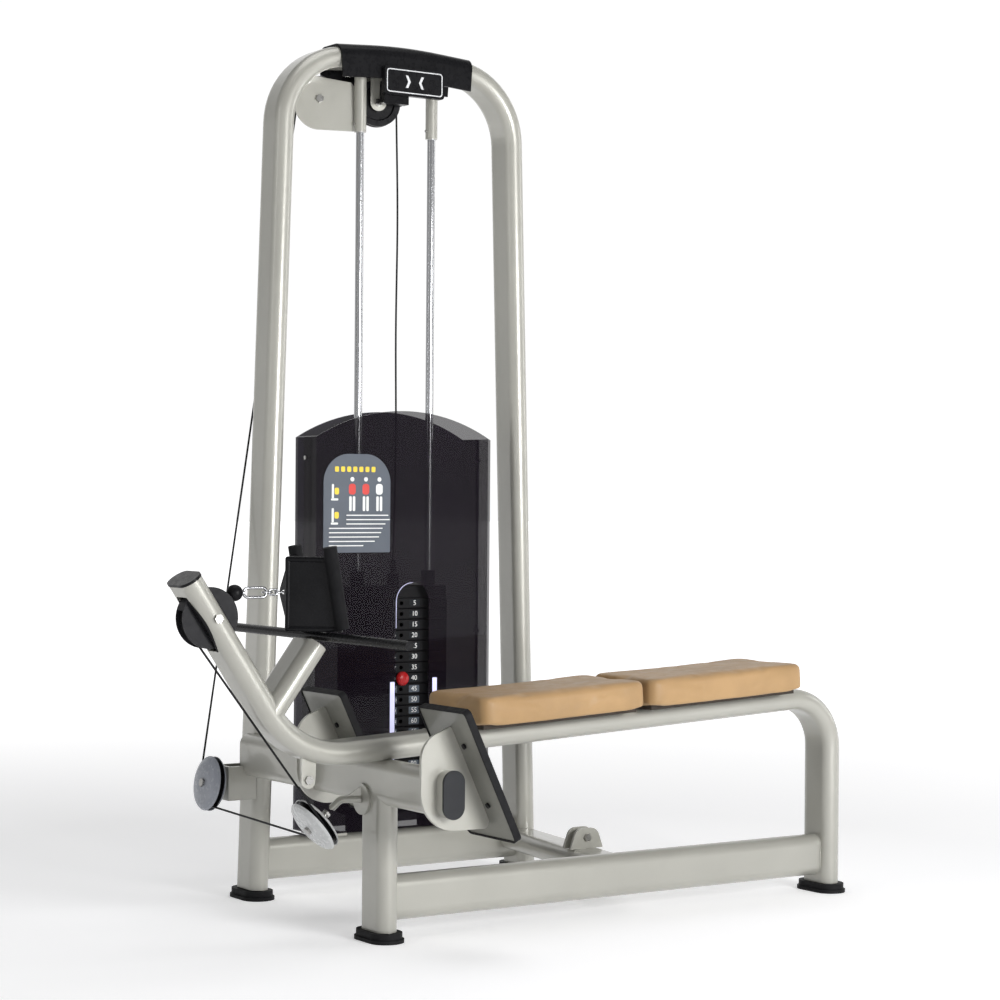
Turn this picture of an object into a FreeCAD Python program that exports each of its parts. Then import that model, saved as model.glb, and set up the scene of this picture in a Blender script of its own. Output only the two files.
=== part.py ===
import FreeCAD, Part
import math
import os
import re
import Sketcher
from FreeCAD import Placement, Rotation, Vector

# Seated cable row: a weight tower, a bench with foot plates and a boom that carries the pull cable.
# X runs along the bench towards the user's back, Y from the bench to the tower, Z up.
# Stations along X are counted from the front leg, along Y from the bench's middle plane.

DIMENSIONS = [
    ("origin_x", 404.714, "origin, behind the front leg"),
    ("origin_y", 160.364, "origin, from the bench plane towards the tower"),
    ("tube_wide", 50.0, "flat-oval frame tube, short side"),
    ("tube_deep", 100.0, "flat-oval frame tube, long side"),
    ("tube_wall", 3.0, "frame tube wall"),
    ("beam_level", 90.0, "middle height of the floor beams"),
    ("foot_tall", 22.0, "rubber foot height"),
    ("foot_round", 40.0, "rubber foot end radius"),
    ("foot_reach", 28.0, "rubber foot, middle to the centre of its round end"),
    ("leg_span", 1266.0, "front leg to rear leg"),
    ("tower_plane", 625.0, "tower, from the bench plane"),
    ("tower_mid", 410.0, "tower middle, from the front leg"),
    ("tower_half", 386.0, "tower half width at the floor"),
    ("tower_lean", 1.74, "lean of each tower leg, degrees"),
    ("crown_tall", 2034.0, "tower crown corner height"),
    ("crown_slope", 4.0, "slope of each crown half, degrees"),
    ("corner_bend", 175.0, "bend radius at the tower shoulders"),
    ("crown_bend", 1400.0, "bend radius at the crown"),
    ("cross_level", 345.0, "front cross tube height"),
    ("cross_near", 290.0, "front cross tube, near end from the bench plane"),
    ("rail_level", 417.0, "seat rail height over the front leg"),
    ("rail_slope", 2.86, "slope of the seat rail, degrees"),
    ("rail_joint", 130.0, "joint between boom tube and seat rail"),
    ("boom_slope", 56.5, "rise of the boom, degrees"),
    ("boom_base", 221.0, "boom corner, ahead of the front leg"),
    ("boom_length", 454.0, "boom corner to boom end"),
    ("boom_bend", 215.0, "bend radius from rail to boom"),
    ("rear_bend", 120.0, "bend radius from rail to rear leg"),
    ("boom_pulley_up", 361.0, "boom pulley, from the boom corner along the boom"),
    ("rod_gap", 206.0, "guide rod spacing"),
    ("rod_round", 10.0, "guide rod radius"),
    ("rod_top", 1990.0, "guide rod upper end"),
    ("sleeve_round", 15.0, "rod sleeve radius"),
    ("sleeve_low", 1848.0, "rod sleeve lower end"),
    ("stack_mid", 410.0, "weight stack middle, from the front leg"),
    ("plate_long", 264.0, "weight plate width"),
    ("plate_deep", 84.0, "weight plate depth"),
    ("plate_pitch", 26.4, "weight plate pitch"),
    ("plate_thick", 25.8, "weight plate thickness"),
    ("plate_count", 20.0, "weight plates"),
    ("picked_count", 8.0, "weight plates above the selector pin"),
    ("stack_low", 181.0, "underside of the resting stack"),
    ("stem_round", 9.0, "selector stem radius"),
    ("pin_round", 4.5, "selector pin radius"),
    ("shroud_wide", 500.0, "shroud width"),
    ("shroud_front", 558.0, "shroud front face, from the bench plane"),
    ("shroud_back", 677.0, "shroud back face, from the bench plane"),
    ("shroud_mid", 402.6, "middle of the front shroud"),
    ("rear_mid", 405.2, "middle of the rear shroud"),
    ("rear_wide", 485.6, "rear shroud width"),
    ("shroud_low", 146.0, "shroud lower edge"),
    ("shroud_shoulder", 1100.0, "shroud height at its sides"),
    ("shroud_crown", 1167.0, "shroud height at its middle"),
    ("shroud_skin", 4.0, "shroud thickness"),
    ("pulley_round", 57.0, "pulley outer radius"),
    ("pulley_track", 50.0, "cable centre line radius on a pulley"),
    ("pulley_wide", 22.0, "pulley width"),
    ("axle_round", 6.0, "pulley axle radius"),
    ("cable_round", 2.4, "cable radius"),
    ("top_axle_level", 1925.0, "height of the two upper pulleys"),
    ("top_turn", 16.0, "turn of the upper pulleys' plane, degrees"),
    ("top_spread", 242.4, "stack cable to tower cable, at the top"),
    ("cover_round", 64.0, "pulley cover radius"),
    ("cover_slit", 6.0, "half the slit between a pulley cover's halves"),
    ("left_corner_x", -103.0, "lower cable corner, from the front leg"),
    ("left_corner_y", 666.0, "lower cable corner, from the bench plane"),
    ("left_corner_z", 232.0, "lower cable corner height"),
    ("near_corner_z", 212.0, "near cable corner height"),
    ("ball_at", -357.0, "stopper ball, from the front leg"),
    ("ball_round", 17.5, "stopper ball radius"),
    ("grip_gap", 150.0, "handle grip spacing"),
    ("grip_round", 15.0, "handle grip radius"),
    ("grip_long", 176.0, "handle grip length"),
    ("grip_at", -157.0, "grip middle, from the front leg"),
    ("grip_level", 766.0, "grip middle height"),
    ("grip_tilt", 10.5, "grip tilt from vertical, degrees"),
    ("rest_at", -165.0, "handle rest bar, from the front leg"),
    ("rest_level", 663.0, "handle rest bar height"),
    ("rest_half", 383.0, "handle rest bar half length"),
    ("rest_round", 10.0, "handle rest bar radius"),
    ("pad_wide", 250.0, "seat pad width"),
    ("pad_thick", 50.0, "seat pad thickness"),
    ("pad_start", 186.0, "front seat pad, front edge"),
    ("pad_seam", 643.0, "seam between the seat pads"),
    ("pad_end", 1112.0, "rear seat pad, rear edge"),
    ("pad_lift", 40.0, "seat pad underside over the rail's centre line"),
    ("board_thick", 15.0, "pad board thickness"),
    ("step_inner", 165.0, "foot plate inner edge, from the bench plane"),
    ("step_outer", 340.0, "foot plate outer edge, from the bench plane"),
    ("step_top_x", 2.0, "foot plate upper edge, from the front leg"),
    ("step_top_z", 520.0, "foot plate upper edge height"),
    ("step_long", 300.0, "foot plate length"),
    ("step_tilt", 25.5, "foot plate tilt from vertical, degrees"),
    ("step_skin", 8.0, "foot plate thickness"),
    ("mat_thick", 6.0, "foot mat thickness"),
    ("mat_rim", 4.0, "foot mat rim beyond the foot plate"),
    ("fan_plane", 262.0, "foot plate bracket, from the bench plane"),
    ("fan_skin", 8.0, "foot plate bracket thickness"),
    ("skew_near", 680.0, "rear cross tube at the bench beam, from the front leg"),
    ("skew_far", 775.0, "rear cross tube at the tower, from the front leg"),
    ("ear_plane", 240.0, "anchor ears, from the bench plane"),
    ("ear_gap", 14.0, "half the spacing of the anchor ears"),
    ("ear_skin", 6.0, "anchor ear thickness"),
    ("ear_bolt_up", 52.0, "anchor ear bolt over the beam's middle"),
    ("support_x", -284.0, "handle rest support, lower end, from the front leg"),
    ("support_z", 502.0, "handle rest support, lower end height"),
    ("support_long", 180.0, "handle rest support length before coping"),
    ("cap_thick", 6.0, "tube end cap thickness"),
    ("sole_tall", 8.0, "rubber foot, flared part height"),
    ("bolt_head", 10.0, "axle bolt head radius"),
    ("bolt_head_tall", 6.0, "axle bolt head height"),
    ("placard_mid", 266.0, "placard middle, from the front leg"),
    ("placard_thick", 1.5, "placard thickness"),
    ("badge_thick", 14.0, "sign thickness"),
    ("badge_out", 56.0, "sign back face ahead of the tower"),
    ("cover_half", 187.0, "top cover half length"),
    ("rest_inset", 180.0, "shroud rest, from the stack's middle"),
    ("rest_wide", 30.0, "shroud rest width"),
    ("rest_tall", 6.0, "shroud rest height"),
    ("pad_corner", 26.0, "seat pad corner radius"),
    ("pad_edge", 10.0, "seat pad upper edge radius"),
    ("board_inset", 20.0, "pad board, from the seat pad's ends"),
    ("board_side", 30.0, "pad board, from the seat pad's sides"),
    ("link_first", 76.6, "first chain link, from the ball"),
    ("link_pitch", 14.8, "chain link pitch"),
    ("nose_reach", 114.2, "handle nose, from the ball"),
    ("arm_top", 826.0, "handle upper arm height"),
    ("arm_round", 6.0, "handle arm radius"),
    ("step_bolt_round", 6.0, "foot plate bolt head radius"),
    ("step_bolt_tall", 4.0, "foot plate bolt head height"),
]

doc = FreeCAD.newDocument("seated_row")
sheet = doc.addObject("Spreadsheet::Sheet", "dims")
for line, (alias, number, note) in enumerate(DIMENSIONS, 1):
    sheet.set("A%d" % line, note)
    sheet.set("B%d" % line, str(number))
    sheet.setAlias("B%d" % line, alias)
doc.recompute()


class Sizes:
    """The sheet's numbers by alias."""

    def __getattr__(self, alias):
        return float(sheet.get(alias))


d = Sizes()
ALIASES = [alias for alias, number, note in DIMENSIONS]
SUBPARTS = []
X_AXIS = Vector(1, 0, 0)
Y_AXIS = Vector(0, 1, 0)
Z_AXIS = Vector(0, 0, 1)
FLAT = Rotation()
UPRIGHT = Rotation(X_AXIS, 90)
ALONG_Y = Rotation(X_AXIS, -90)
ALONG_X = Rotation(Vector(1, 1, 1), 120)


def bound(text):
    """An expression on the sheet's aliases."""
    return re.sub(r"[a-z_]+", lambda m: "dims." + m.group() if m.group() in ALIASES else m.group(), text)


def keep(label, obj):
    """List an object as a sub-part under its own label."""
    obj.Label = label
    SUBPARTS.append(obj)
    return obj


def place(obj, x, y, z, rotation=FLAT):
    """Bind an object's place to the sheet; x and y are stations from the front leg and the bench plane."""
    obj.Placement = Placement(Vector(), rotation)
    obj.setExpression(".Placement.Base.x", bound(x + " - origin_x"))
    obj.setExpression(".Placement.Base.y", bound(y + " - origin_y"))
    obj.setExpression(".Placement.Base.z", bound(z))
    return obj


def station(x, y, z):
    """A point in the object's frame from stations along the bench, across it and up."""
    return Vector(x - d.origin_x, y - d.origin_y, z)


def shape_part(label, shape):
    """A sub-part whose shape is worked out from the sheet's numbers."""
    obj = doc.addObject("Part::Feature", label)
    obj.Shape = shape
    obj.Placement = shape.Placement
    return keep(label, obj)


def cut(base, *tools):
    """One object less others."""
    for tool in tools:
        result = doc.addObject("Part::Cut", "Cut")
        result.Base = base
        result.Tool = tool
        base = result
    return base


def plane_of(body, role):
    """The body's own origin plane with this role."""
    return next(item for item in body.Origin.OriginFeatures if item.Role == role)


def sketch_on(body, role):
    """An empty sketch on one of the body's origin planes."""
    sketch = body.newObject("Sketcher::SketchObject", "Sketch")
    sketch.AttachmentSupport = (plane_of(body, role), [""])
    sketch.MapMode = "FlatFace"
    return sketch


def oval_loop(sketch, radius, reach):
    """A flat oval about the sketch's origin, its long side along the sketch's vertical axis."""
    r = d.tube_wide / 2
    c = (d.tube_deep - d.tube_wide) / 2
    up = Part.Circle(Vector(0, c, 0), Z_AXIS, r)
    down = Part.Circle(Vector(0, -c, 0), Z_AXIS, r)
    first = sketch.GeometryCount
    sketch.addGeometry(Part.ArcOfCircle(up, 0, math.pi), False)
    sketch.addGeometry(Part.LineSegment(Vector(-r, c, 0), Vector(-r, -c, 0)), False)
    sketch.addGeometry(Part.ArcOfCircle(down, math.pi, 2 * math.pi), False)
    sketch.addGeometry(Part.LineSegment(Vector(r, -c, 0), Vector(r, c, 0)), False)
    rules = [
        Sketcher.Constraint("Tangent", first, 2, first + 1, 1),
        Sketcher.Constraint("Tangent", first + 1, 2, first + 2, 1),
        Sketcher.Constraint("Tangent", first + 2, 2, first + 3, 1),
        Sketcher.Constraint("Tangent", first + 3, 2, first, 1),
        Sketcher.Constraint("Vertical", first + 1),
        Sketcher.Constraint("PointOnObject", first, 3, -2),
        Sketcher.Constraint("Symmetric", first, 3, first + 2, 3, -1, 1),
    ]
    sketch.addConstraint(rules)
    size = sketch.addConstraint(Sketcher.Constraint("Radius", first, r))
    sketch.setExpression("Constraints[%d]" % size, bound(radius))
    rise = sketch.addConstraint(Sketcher.Constraint("DistanceY", -1, 1, first, 3, c))
    sketch.setExpression("Constraints[%d]" % rise, bound(reach))


def hollow_section(sketch):
    """The frame tube's section: a flat oval with an even wall."""
    oval_loop(sketch, "tube_wide / 2", "(tube_deep - tube_wide) / 2")
    oval_loop(sketch, "tube_wide / 2 - tube_wall", "(tube_deep - tube_wide) / 2")


def solid_section(sketch):
    """The frame tube's outer outline alone."""
    oval_loop(sketch, "tube_wide / 2", "(tube_deep - tube_wide) / 2")


def padded(body, sketch, length):
    """The body, padded from its sketch to a length bound to the sheet."""
    pad = body.newObject("PartDesign::Pad", "Pad")
    pad.Profile = sketch
    pad.setExpression("Length", bound(length))
    return body


def oval_tube(length):
    """A straight frame tube along its own Z, the long side along its own Y."""
    body = doc.addObject("PartDesign::Body", "Tube")
    sketch = sketch_on(body, "XY_Plane")
    hollow_section(sketch)
    return padded(body, sketch, length)


def oval_block(radius, reach, length):
    """A solid flat oval along its own Z."""
    body = doc.addObject("PartDesign::Body", "Block")
    sketch = sketch_on(body, "XY_Plane")
    oval_loop(sketch, radius, reach)
    return padded(body, sketch, length)


def core(length):
    """A frame tube's outer form, filled, to cope its neighbours with."""
    return oval_block("tube_wide / 2", "(tube_deep - tube_wide) / 2", length)


def round_corners(points, radii):
    """Edges of a route: straight runs joined by tangent arcs, one radius for each inner point."""
    edges = []
    start = points[0]
    for before, corner, after, radius in zip(points, points[1:], points[2:], radii):
        into = (corner - before).normalize()
        out = (after - corner).normalize()
        half = into.getAngle(out) / 2
        reach = radius * math.tan(half)
        enter = corner - into * reach
        leave = corner + out * reach
        middle = (out - into).normalize()
        top = corner + middle * (radius / math.cos(half) - radius)
        edges.append(Part.LineSegment(start, enter).toShape())
        edges.append(Part.Arc(enter, top, leave).toShape())
        start = leave
    edges.append(Part.LineSegment(start, points[-1]).toShape())
    return edges


def ring_edges(corners):
    """Edges of a closed flat outline; each corner is (x, y, radius)."""
    points = [Vector(x, y, 0) for x, y, radius in corners]
    radii = [radius for x, y, radius in corners]
    middle = (points[-1] + points[0]) / 2
    route = [middle] + points + [middle]
    return round_corners(route, radii)


def sketch_geometry(edge):
    """A sketch line or arc from a route edge."""
    first = edge.valueAt(edge.FirstParameter)
    last = edge.valueAt(edge.LastParameter)
    if isinstance(edge.Curve, Part.Line):
        return Part.LineSegment(first, last)
    middle = edge.valueAt((edge.FirstParameter + edge.LastParameter) / 2)
    return Part.Arc(first, middle, last)


def plate(corners, thickness, holes=()):
    """A flat plate in its own XY plane, thick along its own Z; holes are (x, y, radius)."""
    body = doc.addObject("PartDesign::Body", "Plate")
    sketch = sketch_on(body, "XY_Plane")
    for edge in ring_edges(corners):
        sketch.addGeometry(sketch_geometry(edge), False)
    for x, y, radius in holes:
        sketch.addGeometry(Part.Circle(Vector(x, y, 0), Z_AXIS, radius), False)
    return padded(body, sketch, thickness)


def turned(profile):
    """A solid turned about its own Z; the profile's points are (radius, height)."""
    body = doc.addObject("PartDesign::Body", "Turned")
    sketch = sketch_on(body, "XZ_Plane")
    for start, end in zip(profile, profile[1:] + profile[:1]):
        line = Part.LineSegment(Vector(start[0], start[1], 0), Vector(end[0], end[1], 0))
        sketch.addGeometry(line, False)
    turn = body.newObject("PartDesign::Revolution", "Turn")
    turn.Profile = sketch
    turn.ReferenceAxis = (sketch, ["V_Axis"])
    turn.Angle = 360
    return body


def swept_tube(points, radii, section=hollow_section):
    """A bent frame tube along a route in its own XZ plane, its long side along its own Y."""
    body = doc.addObject("PartDesign::Body", "Bent")
    path = sketch_on(body, "XZ_Plane")
    flat = [Vector(x, z, 0) for x, z in points]
    for edge in round_corners(flat, radii):
        path.addGeometry(sketch_geometry(edge), False)
    profile = body.newObject("Sketcher::SketchObject", "Profile")
    start = Vector(points[0][0], 0, points[0][1])
    heading = (Vector(points[1][0], 0, points[1][1]) - start).normalize()
    profile.Placement = Placement(start, Rotation(Y_AXIS.cross(heading), Y_AXIS, heading, "ZYX"))
    section(profile)
    doc.recompute()
    pipe = body.newObject("PartDesign::AdditivePipe", "Pipe")
    pipe.Profile = profile
    pipe.Spine = path
    return body


def sweep(face_wire, edges):
    """A solid swept along a route of edges."""
    return Part.Wire(edges).makePipeShell([face_wire], True, False)


def rod_along(edges, radius):
    """A round bar or cable along a route of edges."""
    start = edges[0].valueAt(edges[0].FirstParameter)
    heading = edges[0].tangentAt(edges[0].FirstParameter)
    ring = Part.Wire(Part.Circle(start, heading, radius).toShape())
    return sweep(ring, edges)


def bar(start, end, radius):
    """A straight round bar between two points."""
    return Part.makeCylinder(radius, (end - start).Length, start, end - start)


def joined(shapes):
    """One solid from overlapping shapes."""
    whole = shapes[0].fuse(shapes[1:]) if len(shapes) > 1 else shapes[0]
    return whole.removeSplitter()


def bolt(head_at, heading, grip, radius, head_round, head_tall):
    """A hexagon-headed bolt: its head outside head_at, its shank along heading, a nut at the end."""
    out = heading.normalize() * -1
    frame = Placement(head_at, Rotation(Z_AXIS, out))
    hexagon = [Vector(head_round * math.cos(k * math.pi / 3), head_round * math.sin(k * math.pi / 3), 0)
               for k in range(7)]
    head = Part.Face(Part.makePolygon(hexagon)).extrude(Z_AXIS * head_tall)
    nut = head.copy()
    nut.translate(Z_AXIS * -(grip + head_tall))
    shank = Part.makeCylinder(radius, grip + head_tall, Vector(0, 0, -grip - head_tall))
    whole = joined([head, nut, shank])
    whole.transformShape(frame.toMatrix(), True)
    return whole


def slope(angle):
    """Rise over run of an angle in degrees."""
    return math.tan(math.radians(angle))


def along(angle):
    """A unit vector in the XZ plane at an angle in degrees above +X."""
    return Vector(math.cos(math.radians(angle)), 0, math.sin(math.radians(angle)))


# ---- floor frame ----

leg_reach = "cross_level - tube_deep / 2 - foot_tall + tube_wide / 2"
cross_reach = "cross_near + tower_plane - tube_wide / 2"

cross_core = place(core(cross_reach), "0", "-cross_near", "cross_level", ALONG_Y)
left_core = core("crown_tall - 300")
place(left_core, "tower_mid - tower_half", "tower_plane", "0", Rotation(Y_AXIS, d.tower_lean))
right_core = core("crown_tall - 300")
place(right_core, "tower_mid + tower_half", "tower_plane", "0", Rotation(Y_AXIS, -d.tower_lean))

cross_tube = place(oval_tube(cross_reach), "0", "-cross_near", "cross_level", ALONG_Y)
keep("front_cross_tube", cut(cross_tube, left_core))

front_leg = place(oval_tube(leg_reach), "0", "0", "foot_tall")
keep("front_leg", cut(front_leg, cross_core))

bench_beam = oval_tube("leg_span - tube_wide")
keep("bench_base_beam", place(bench_beam, "tube_wide / 2", "0", "beam_level", ALONG_X))

tower_beam = oval_tube("2 * tower_half")
place(tower_beam, "tower_mid - tower_half", "tower_plane", "beam_level", ALONG_X)
keep("tower_base_beam", cut(tower_beam, left_core, right_core))

# The rear cross tube lies flat and runs askew from the bench beam to the right tower leg.
skew_near = Vector(d.skew_near, 0, 0)
skew_far = Vector(d.skew_far, d.tower_plane, 0)
skew = (skew_far - skew_near).normalize()
skew_turn = Rotation(Z_AXIS, Z_AXIS.cross(skew) * -1, skew, "ZYX")
skew_tube = place(oval_tube("tower_plane"), "skew_near", "0", "beam_level", skew_turn)
between = doc.addObject("Part::Box", "Between")
between.Length = 400
between.setExpression("Width", bound("tower_plane - tube_wide"))
between.Height = 200
place(between, "skew_near - 180", "tube_wide / 2", "0")
skew_part = doc.addObject("Part::Common", "Common")
skew_part.Base = skew_tube
skew_part.Tool = between
keep("rear_cross_tube", cut(skew_part, right_core))

# ---- tower arch ----

lean = slope(d.tower_lean)
rise = slope(d.crown_slope)
shoulder_x = (d.tower_half - lean * d.crown_tall) / (1 - lean * rise)
shoulder_z = d.crown_tall - rise * shoulder_x
arch_low = d.foot_tall + lean * d.tube_wide / 2
foot_x = d.tower_half - lean * arch_low
arch_route = [(-foot_x, arch_low), (-shoulder_x, shoulder_z), (0, d.crown_tall),
              (shoulder_x, shoulder_z), (foot_x, arch_low)]
arch = swept_tube(arch_route, [d.corner_bend, d.crown_bend, d.corner_bend])
keep("tower_arch", place(arch, "tower_mid", "tower_plane", "0"))

# ---- boom, seat rail and handle rest ----

rail = slope(d.rail_slope)
boom_corner = (-d.boom_base, d.rail_level - rail * d.boom_base)
boom_way = along(180 - d.boom_slope)
boom_end = (boom_corner[0] + boom_way.x * d.boom_length, boom_corner[1] + boom_way.z * d.boom_length)
rail_joint = (d.rail_joint, d.rail_level + rail * d.rail_joint)
boom_axle = station(boom_corner[0] + boom_way.x * d.boom_pulley_up, 0,
                    boom_corner[1] + boom_way.z * d.boom_pulley_up)
boom_tilt = Rotation(Y_AXIS, d.boom_slope - 90)

boom_route = [boom_end, boom_corner, rail_joint]
boom = place(swept_tube(boom_route, [d.boom_bend]), "0", "0", "0")
boom_core = place(swept_tube(boom_route, [d.boom_bend], solid_section), "0", "0", "0")
slot = doc.addObject("Part::Box", "BoomSlot")
slot.setExpression("Length", bound("3 * tube_wide"))
slot.setExpression("Width", bound("pulley_wide + 16"))
slot.setExpression("Height", bound("2 * cover_round + 8"))
slot_corner = Vector(-1.5 * d.tube_wide, -d.pulley_wide / 2 - 8, -d.cover_round - 4)
slot.Placement = Placement(boom_axle + boom_tilt.multVec(slot_corner), boom_tilt)
axle_hole = doc.addObject("Part::Cylinder", "AxleHole")
axle_hole.setExpression("Radius", bound("axle_round + 0.05"))
axle_hole.setExpression("Height", bound("tube_deep + 20"))
axle_hole.Placement = Placement(boom_axle + Vector(0, d.tube_deep / 2 + 10, 0), UPRIGHT)
keep("boom_tube", cut(boom, slot, axle_hole, cross_core))

boom_cap = oval_block("tube_wide / 2 + 1", "(tube_deep - tube_wide) / 2", "cap_thick")
boom_cap.Placement = Placement(station(boom_end[0], 0, boom_end[1]), boom_tilt)
keep("boom_end_cap", boom_cap)

cross_cap = oval_block("tube_wide / 2 + 1", "(tube_deep - tube_wide) / 2", "cap_thick")
keep("cross_tube_cap", place(cross_cap, "0", "-cross_near", "cross_level", UPRIGHT))

rear_foot_x = d.leg_span
seat_route = [rail_joint, (rear_foot_x, d.rail_level + rail * rear_foot_x), (rear_foot_x, d.foot_tall)]
keep("seat_rail", place(swept_tube(seat_route, [d.rear_bend]), "0", "0", "0"))

support_foot = station(d.support_x, 0, d.support_z)
rest_mid = station(d.rest_at, 0, d.rest_level)
support_way = (rest_mid - support_foot).normalize()
support_turn = Rotation(Y_AXIS.cross(support_way), Y_AXIS, support_way, "ZYX")
support = oval_tube("support_long")
support.Placement = Placement(support_foot, support_turn)
rest_core = doc.addObject("Part::Cylinder", "RestCore")
rest_core.setExpression("Radius", bound("rest_round"))
rest_core.setExpression("Height", bound("2 * rest_half"))
place(rest_core, "rest_at", "-rest_half", "rest_level", ALONG_Y)
rest_clear = doc.addObject("Part::Box", "RestClear")
rest_clear.Length = 200
rest_clear.setExpression("Width", bound("2 * tube_deep"))
rest_clear.Height = 100
place(rest_clear, "rest_at - 100", "-tube_deep", "rest_level - 4")
keep("rest_support", cut(support, boom_core, rest_core, rest_clear))

rest_bar = doc.addObject("Part::Cylinder", "RestBar")
rest_bar.setExpression("Radius", bound("rest_round"))
rest_bar.setExpression("Height", bound("2 * rest_half"))
keep("rest_bar", place(rest_bar, "rest_at", "-rest_half", "rest_level", ALONG_Y))

lug_corners = [(-208, 412, 3), (-208, 347, 14), (-176, 337, 14), (-172, 402, 3)]
lug_hole = (-191, 360)
lug = place(plate(lug_corners, "step_skin", [lug_hole + (d.axle_round + 0.05,)]), "0", "-16", "0", UPRIGHT)
keep("boom_lug", cut(lug, boom_core))

# ---- feet and caps ----

foot_sites = [(0, 0), (rear_foot_x, 0), (d.tower_mid - d.tower_half, d.tower_plane),
              (d.tower_mid + d.tower_half, d.tower_plane)]


def oval_solid(radius, reach, low, high):
    """A flat oval solid about the Z axis, its long side along Y, between two heights."""
    ends = [Part.makeCylinder(radius, high - low, Vector(0, side * reach, low)) for side in (-1, 1)]
    middle = Part.makeBox(2 * radius, 2 * reach, high - low, Vector(-radius, -reach, low))
    return joined(ends + [middle])


feet = []
for x, y in foot_sites:
    sole = oval_solid(d.foot_round, d.foot_reach, 0, d.sole_tall)
    cup = oval_solid(d.foot_round - 4, d.foot_reach, d.sole_tall, d.foot_tall)
    foot = joined([sole, cup])
    foot.translate(station(x, y, 0))
    feet.append(foot)
shape_part("rubber_feet", Part.makeCompound(feet))

# ---- anchor ears on the rear cross tube ----

ear_mid = d.skew_near + (d.skew_far - d.skew_near) * d.ear_plane / d.tower_plane
ear_bolt_z = d.beam_level + d.ear_bolt_up
ears = []
for side in (-1, 1):
    ear_edges = ring_edges([(-48, 25, 2), (-30, 74, 26), (30, 74, 26), (48, 25, 2)])
    ear = Part.Face(Part.Wire(ear_edges)).extrude(Z_AXIS * d.ear_skin)
    ear.rotate(Vector(), X_AXIS, 90)
    ear.translate(station(ear_mid, d.ear_plane + d.ear_skin / 2 + side * d.ear_gap, d.beam_level))
    drill_from = station(ear_mid, d.ear_plane - 30, ear_bolt_z)
    drill = Part.makeCylinder(d.axle_round + 0.05, 60, drill_from, Y_AXIS)
    ear = ear.cut(drill)
    ears.append(ear)
shape_part("anchor_ears", Part.makeCompound(ears))

# ---- cable route ----

top_way = Vector(-math.cos(math.radians(d.top_turn)), math.sin(math.radians(d.top_turn)), 0)
stack_head = d.stack_low + d.plate_count * d.plate_pitch
stack_eye = station(d.stack_mid, d.tower_plane, stack_head + 92)
top_corner = station(d.stack_mid, d.tower_plane, d.top_axle_level + d.pulley_track)
drop_corner = top_corner + top_way * d.top_spread
left_corner = station(d.left_corner_x, d.left_corner_y, d.left_corner_z)
near_corner = station(d.left_corner_x, 0, d.near_corner_z)

# The cable leaves the near corner along the tangent to the underside of the boom pulley.
reach_to_axle = boom_axle - near_corner
aim = math.degrees(math.atan2(reach_to_axle.z, reach_to_axle.x))
aim += math.degrees(math.asin(d.pulley_track / reach_to_axle.Length))
boom_run = along(aim)
pull_z = boom_axle.z + d.pulley_track
boom_top = near_corner + boom_run * ((pull_z - near_corner.z) / boom_run.z)
ball_mid = station(d.ball_at, 0, pull_z)

route = [stack_eye, top_corner, drop_corner, left_corner, near_corner, boom_top, ball_mid]
cable_edges = round_corners(route, [d.pulley_track] * 5)


def pulley_seat(edge):
    """Centre of a pulley and its axle direction, from the cable arc that it carries."""
    return edge.Curve.Center, edge.Curve.Axis


seats = [pulley_seat(edge) for edge in cable_edges[1::2]]
SEAT_NAMES = ["top", "corner", "left", "near", "boom"]
seat = dict(zip(SEAT_NAMES, seats))
for name in SEAT_NAMES:
    centre, axis = seat[name]
    forward = axis if axis.dot(Vector(0.56, 0.83, 0)) > 0 else axis * -1
    seat[name] = (centre, forward)

half = d.pulley_wide / 2
floor_r = d.pulley_track - d.cable_round - 0.3
pulley_profile = [(d.axle_round + 0.05, -half), (14, -half), (16, -5), (40, -5), (43, -half),
                  (d.pulley_round, -half), (d.pulley_round, -6), (floor_r, -3), (floor_r, 3),
                  (d.pulley_round, 6), (d.pulley_round, half), (43, half), (40, 5), (16, 5),
                  (14, half), (d.axle_round + 0.05, half)]
for name in SEAT_NAMES:
    centre, forward = seat[name]
    wheel = turned(pulley_profile)
    wheel.Placement = Placement(centre, Rotation(Z_AXIS, forward))
    keep(name + "_pulley", wheel)


def cable(label, edges):
    """A length of the cable, its volume checked against section times length."""
    shape = rod_along(edges, d.cable_round)
    expected = sum(edge.Length for edge in edges) * math.pi * d.cable_round ** 2
    if abs(shape.Volume - expected) > 0.02 * expected:
        raise ValueError("cable volume is off: " + label)
    return shape_part(label, shape)


cable("stack_cable", cable_edges[0:1])
cable("tower_cable", cable_edges[1:6])
cable("lower_cable", cable_edges[6:10])
pull_start = cable_edges[10].valueAt(cable_edges[10].FirstParameter)
pull_end = ball_mid - X_AXIS * d.ball_round
cable("pull_cable", [Part.LineSegment(pull_start, pull_end).toShape()])

# ---- pulley mounts, covers and bolts ----


def in_seat(name, shape):
    """A shape drawn about its own Z, moved to a pulley's seat."""
    centre, forward = seat[name]
    moved = shape.copy()
    moved.transformShape(Placement(centre, Rotation(Z_AXIS, forward)).toMatrix(), True)
    return moved


def spun(profile):
    """A solid turned about Z from (radius, height) points."""
    points = [Vector(radius, 0, height) for radius, height in profile + profile[:1]]
    return Part.Face(Part.makePolygon(points)).revolve(Vector(), Z_AXIS, 360)


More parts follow.
